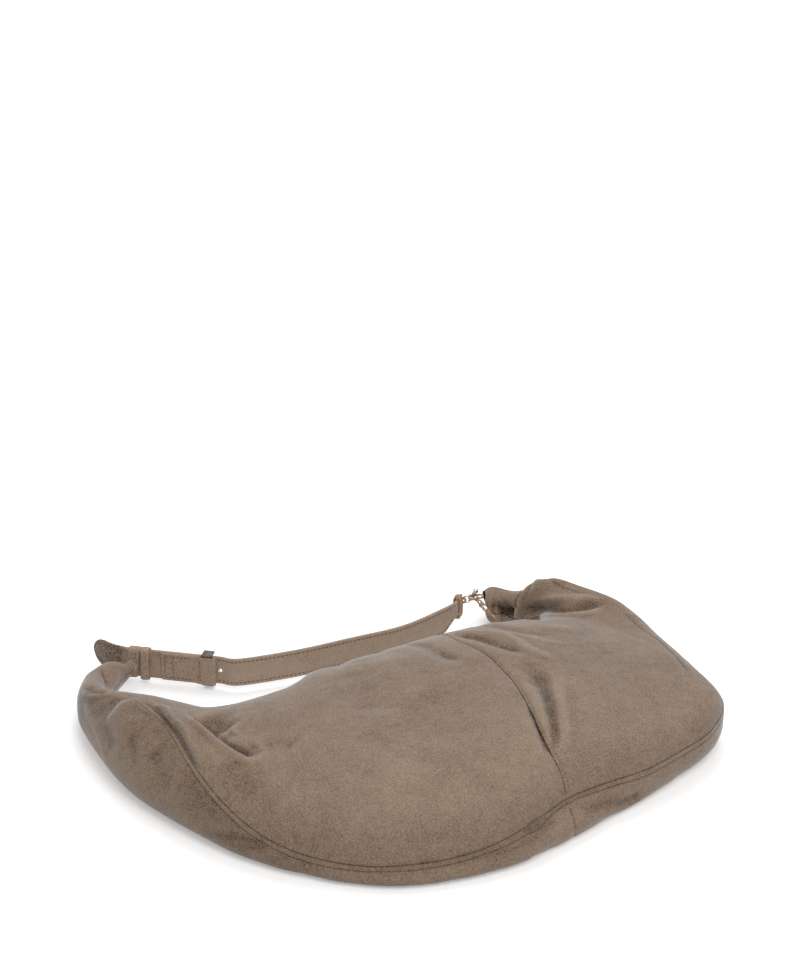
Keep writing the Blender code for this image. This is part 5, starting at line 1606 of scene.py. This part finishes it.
def makeRingAndLaces(looks):
    lean = math.radians(ringLook["lean"])
    up = liftUp * math.cos(lean) - liftSide * math.sin(lean)
    circle = [ringCentre + (liftAxis * math.cos(turn) + up * math.sin(turn)) * ringLook["radius"]
              for turn in np.linspace(0, math.tau, 64, endpoint=False)]
    piece = makePiece("joinRing", *rod(circle, ringLook["wire"], 20, True), looks["nickel"], "ring", "nickel")
    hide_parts("join_ring")
    radius, half = laceShape["radius"], laceShape["half"]
    loop = stadiumRoute(laceShape["bend"], laceShape["reach"], half, lambda a, b: ringPoint(a, b, 0.0), 90)
    twist, depth = laceShape["loopTwist"], laceShape["plyDepth"]
    piece = loopPiece(looks, "ringLace", "pouch", loop, radius, twist, depth)
    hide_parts("ring_lace_loop")
    loop = stadiumRoute(-half, strapLook["laceReach"], half, lambda a, b: strapEndPoint(-a, b, 0.0), 70)
    piece = loopPiece(looks, "strapLace", "strap", loop, radius, twist, depth)
    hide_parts("strap_lace_loop")
    high = 2 * radius + bag["gap"]
    across = half + high
    knot = stadiumRoute(-across, across, high, lambda a, b: ringPoint(laceShape["knotPlace"], a, b), 90)
    piece = loopPiece(looks, "laceKnot", "pouch", knot, radius * laceShape["knotSwell"],
                      laceShape["knotTwist"], laceShape["knotDepth"])
    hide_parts("lace_knot")
    bead = ringLook["beadRadius"]
    top = ringPoint(laceShape["knotPlace"], 0.0, high + radius + bag["gap"] + bead)
    profile = [(place, reach * (1 - ringLook["beadGroove"] * bell(step - 8, 0.9)))
               for step, (place, reach) in enumerate(ballProfile(bead, 16, 0.12))]
    solid = lathe(top - liftUp * bead, top + liftUp * bead, profile, 28)
    piece = makePiece("roundBead", *solid, looks["nickel"], "pouch", "nickel")
    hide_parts("round_bead")


# Turns of lace round the strap's narrow end
def makeStrapWrap(looks, route):
    end = Vector((*route[-1], 0.0))
    beyond = laceShape["wrapAway"] + laceShape["radius"]
    wide = strapLook["half"] + beyond
    tall = strapLook["endHeight"] / 2 + beyond
    steps = laceShape["wrapSteps"]
    points = []
    for step in range(0, laceShape["wrapTurns"] * steps + 1, 3):
        turn = math.tau * step / steps
        back = laceShape["wrapInset"] + laceShape["wrapPitch"] * step / steps
        side = math.copysign(abs(math.cos(turn)) ** 0.5, math.cos(turn)) * wide
        up = math.copysign(abs(math.sin(turn)) ** 0.5, math.sin(turn)) * tall
        spot = end - strapHeading * back + strapBeside * side
        points.append((spot.x, spot.y, ringCentre.z + up))
    route = smoothRoute(points, 260)
    piece = strandPiece(looks, "strapEndWrap", "strap", route, laceShape["radius"], laceShape["wrapTwist"])
    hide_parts("strap_end_wrap")


charmLook = {"places": ((0.652, 0.724, 0.290), (0.652, 0.690, 0.272), (0.660, 0.656, 0.240)),
             "knotRadius": 0.0026, "laceRadius": 0.0008, "spread": 0.0011, "barrelLength": 0.0066,
             "barrelRadius": 0.0026, "barrelGrooves": (0.16, 0.84), "grooveWidth": 0.022, "grooveDepth": 0.10,
             "barrelEnd": 0.72, "strandBow": 1.5, "strandEnd": 0.75, "tailStart": 0.7,
             "tailLength": 0.0080, "tailSway": 0.0006,
             # The knot's core, its length and the lace that winds round it, as shares of its radius
             "core": 0.80, "coreHalf": 0.85, "windReach": 0.66, "windLength": 1.25, "windRadius": 0.34,
             "winds": 3}


# A knot in the lace: a soft ball with three turns winding round it
def knotSolid(centre, radius, axis):
    look = charmLook
    centre = Vector(centre)
    half = axis * radius * look["coreHalf"]
    core = lathe(centre - half, centre + half, ballProfile(radius * look["core"], 14, 0.15), 20)
    across = axis.orthogonal().normalized()
    beside = axis.cross(across)
    route = []
    for share in np.linspace(0, 1, 73):
        turn = math.tau * look["winds"] * share
        ring = radius * look["windReach"] * math.sqrt(max(1 - ((share - 0.5) * 1.5) ** 2, 0.1))
        route.append(centre + axis * radius * look["windLength"] * (share - 0.5)
                     + (across * math.cos(turn) + beside * math.sin(turn)) * ring)
    return joined([core, rod(route, radius * look["windRadius"], 10)])


# The charm hangs on the lace: two strands, a knot, a barrel bead, an end knot and a tail
def makeCharm(looks):
    outer = laceShape["half"] + 3 * laceShape["radius"] + 2 * bag["gap"]
    start = ringPoint(laceShape["knotPlace"], -outer, 0.0)
    upper, barrel, lower = [Vector((x * bag["halfWidth"], y * bag["depth"], z * bag["height"]))
                            for x, y, z in charmLook["places"]]
    gap = bag["gap"]
    knot = charmLook["knotRadius"]
    for name, node, side in (("charmLaceLeft", "charm_strand_left", -1),
                             ("charmLaceRight", "charm_strand_right", 1)):
        along = (upper - start).normalized()
        across = along.cross(Vector((0.0, 0.0, 1.0))).normalized() * charmLook["spread"] * side
        stop = upper - along * (knot * charmLook["strandEnd"])
        middle = (start + stop) / 2 + across * charmLook["strandBow"]
        line = smoothRoute([start + across, middle, stop + across], 26)
        piece = strandPiece(looks, name, "charm", line, charmLook["laceRadius"], laceShape["strandTwist"])
        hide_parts(node)
    along = (barrel - upper).normalized()
    piece = makePiece("charmUpperKnot", *knotSolid(upper, knot, along), looks["lace"], "charm", "lace")
    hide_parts("charm_upper_knot")
    first = upper + along * (knot + gap)
    last = first + along * charmLook["barrelLength"]
    profile = []
    for step in range(33):
        share = step / 32
        end = charmLook["barrelEnd"]
        reach = end + (1 - end) * math.sin(math.pi * share) ** 0.7
        grooves = sum(bell(share - at, charmLook["grooveWidth"]) for at in charmLook["barrelGrooves"])
        profile.append((share, charmLook["barrelRadius"] * (reach - grooves * charmLook["grooveDepth"])))
    solid = lathe(first, last, profile, 30)
    piece = makePiece("barrelBead", *solid, looks["nickel"], "charm", "nickel", sharp=40)
    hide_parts("barrel_bead")
    centre = last + along * (gap + knot)
    piece = makePiece("charmEndKnot", *knotSolid(centre, knot, along), looks["lace"], "charm", "lace")
    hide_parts("charm_end_knot")
    down = (lower - barrel).normalized()
    tail = []
    for share in np.linspace(0, 1, 14):
        sway = Vector((charmLook["tailSway"] * math.sin(share * 4), 0.0, 0.0))
        away = knot * charmLook["tailStart"] + (gap + charmLook["tailLength"]) * share
        tail.append(centre + down * away + sway)
    piece = strandPiece(looks, "charmTail", "charm", tail, charmLook["laceRadius"], laceShape["strandTwist"])
    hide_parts("charm_tail")


tabLook = {"start": 0.1079, "length": 0.0360, "width": 0.0090, "half": 0.0009, "y": 0.1035,
           # Points across, edge, groove and press of the strip; groove, pitch and length of the stitches
           "strip": (22, 0.0007, 0.0018, 0.00014), "stitches": (0.0018, 0.0030, 0.0022),
           "startRound": 0.08, "startNarrow": 0.72, "endRound": 0.14, "endNarrow": 0.30, "proud": 0.00014}


# The puller's suede tab, stitched along both edges
def makePullerTab(looks):
    shares = np.concatenate([np.linspace(0, 0.1, 10), np.linspace(0.12, 0.9, 40), np.linspace(0.91, 1.0, 10)])
    route = [(tabLook["start"] - tabLook["length"] * share, tabLook["y"]) for share in shares]
    wide = []
    for share in shares:
        fromStart = min(share / tabLook["startRound"], 1.0)
        fromEnd = min((1 - share) / tabLook["endRound"], 1.0)
        narrow = tabLook["startNarrow"]
        first = narrow + (1 - narrow) * math.sin(math.pi / 2 * fromStart)
        last = max(math.sqrt(max(1 - (1 - fromEnd) ** 2, 0.0)), tabLook["endNarrow"])
        wide.append(min(first, last) * tabLook["width"] / 2)
    wide = np.array(wide)
    lows, highs = bag["zipHeight"] - wide, bag["zipHeight"] + wide
    solid = stripMesh(route, lows, highs, tabLook["half"], *tabLook["strip"])
    piece = makePiece("pullerTab", *solid, looks["strap"], "puller", "strap_suede", sharp=50)
    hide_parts("puller_tab")
    solids = stripStitches(route, lows, highs, tabLook["half"] + tabLook["proud"], *tabLook["stitches"])
    makePiece("pullerTabStitches", *joined(solids), looks["thread"], "puller")


def main():
    makeView()
    makeSurroundings()
    looks = {
        "suede": suedeFinish("pouchSuede", suedeLook["colour"], suedeLook["deep"], suedeLook["pale"]),
        "strap": suedeFinish("strapSuede", suedeLook["strapLitColour"], suedeLook["strapLitDeep"],
                             suedeLook["strapLitPale"]),
        "lining": wovenFinish("liningCloth", clothLook["lining"], clothLook["liningDark"],
                              clothLook["liningThreads"]),
        "tape": wovenFinish("zipTapeCloth", clothLook["tape"], clothLook["tapeDark"],
                            clothLook["tapeThreads"]),
        "nickel": nickelFinish("nickel"),
        "nickelKept": nickelFinish("nickelHardware", True),
        "lace": laceFinish("laceLeather"),
        "thread": threadFinish("thread", threadLook["colour"], threadLook["dark"]),
        "pouchThread": threadFinish("pouchThread", threadLook["pouchColour"], threadLook["pouchDark"]),
        "frame": nickelFinish("frameMetal", False, frameLook),
    }
    print("view and finishes made")
    places, grid, normals = makePouch(looks)
    makePouchStitches(looks, places, grid, normals)
    print("pouch made")
    makeLinings(looks, places, grid, normals)
    makeSlipPocket(looks)
    makeZip(looks, places, grid, normals)
    makePullerTab(looks)
    print("linings and zip made")
    route = makeStrap(looks)
    makeBuckle(looks)
    makeBands(looks)
    makeNeckSleeve(looks, grid)
    print("strap made")
    makeRingAndLaces(looks)
    makeStrapWrap(looks, route)
    makeCharm(looks)
    print("ring, laces and charm made")


main()
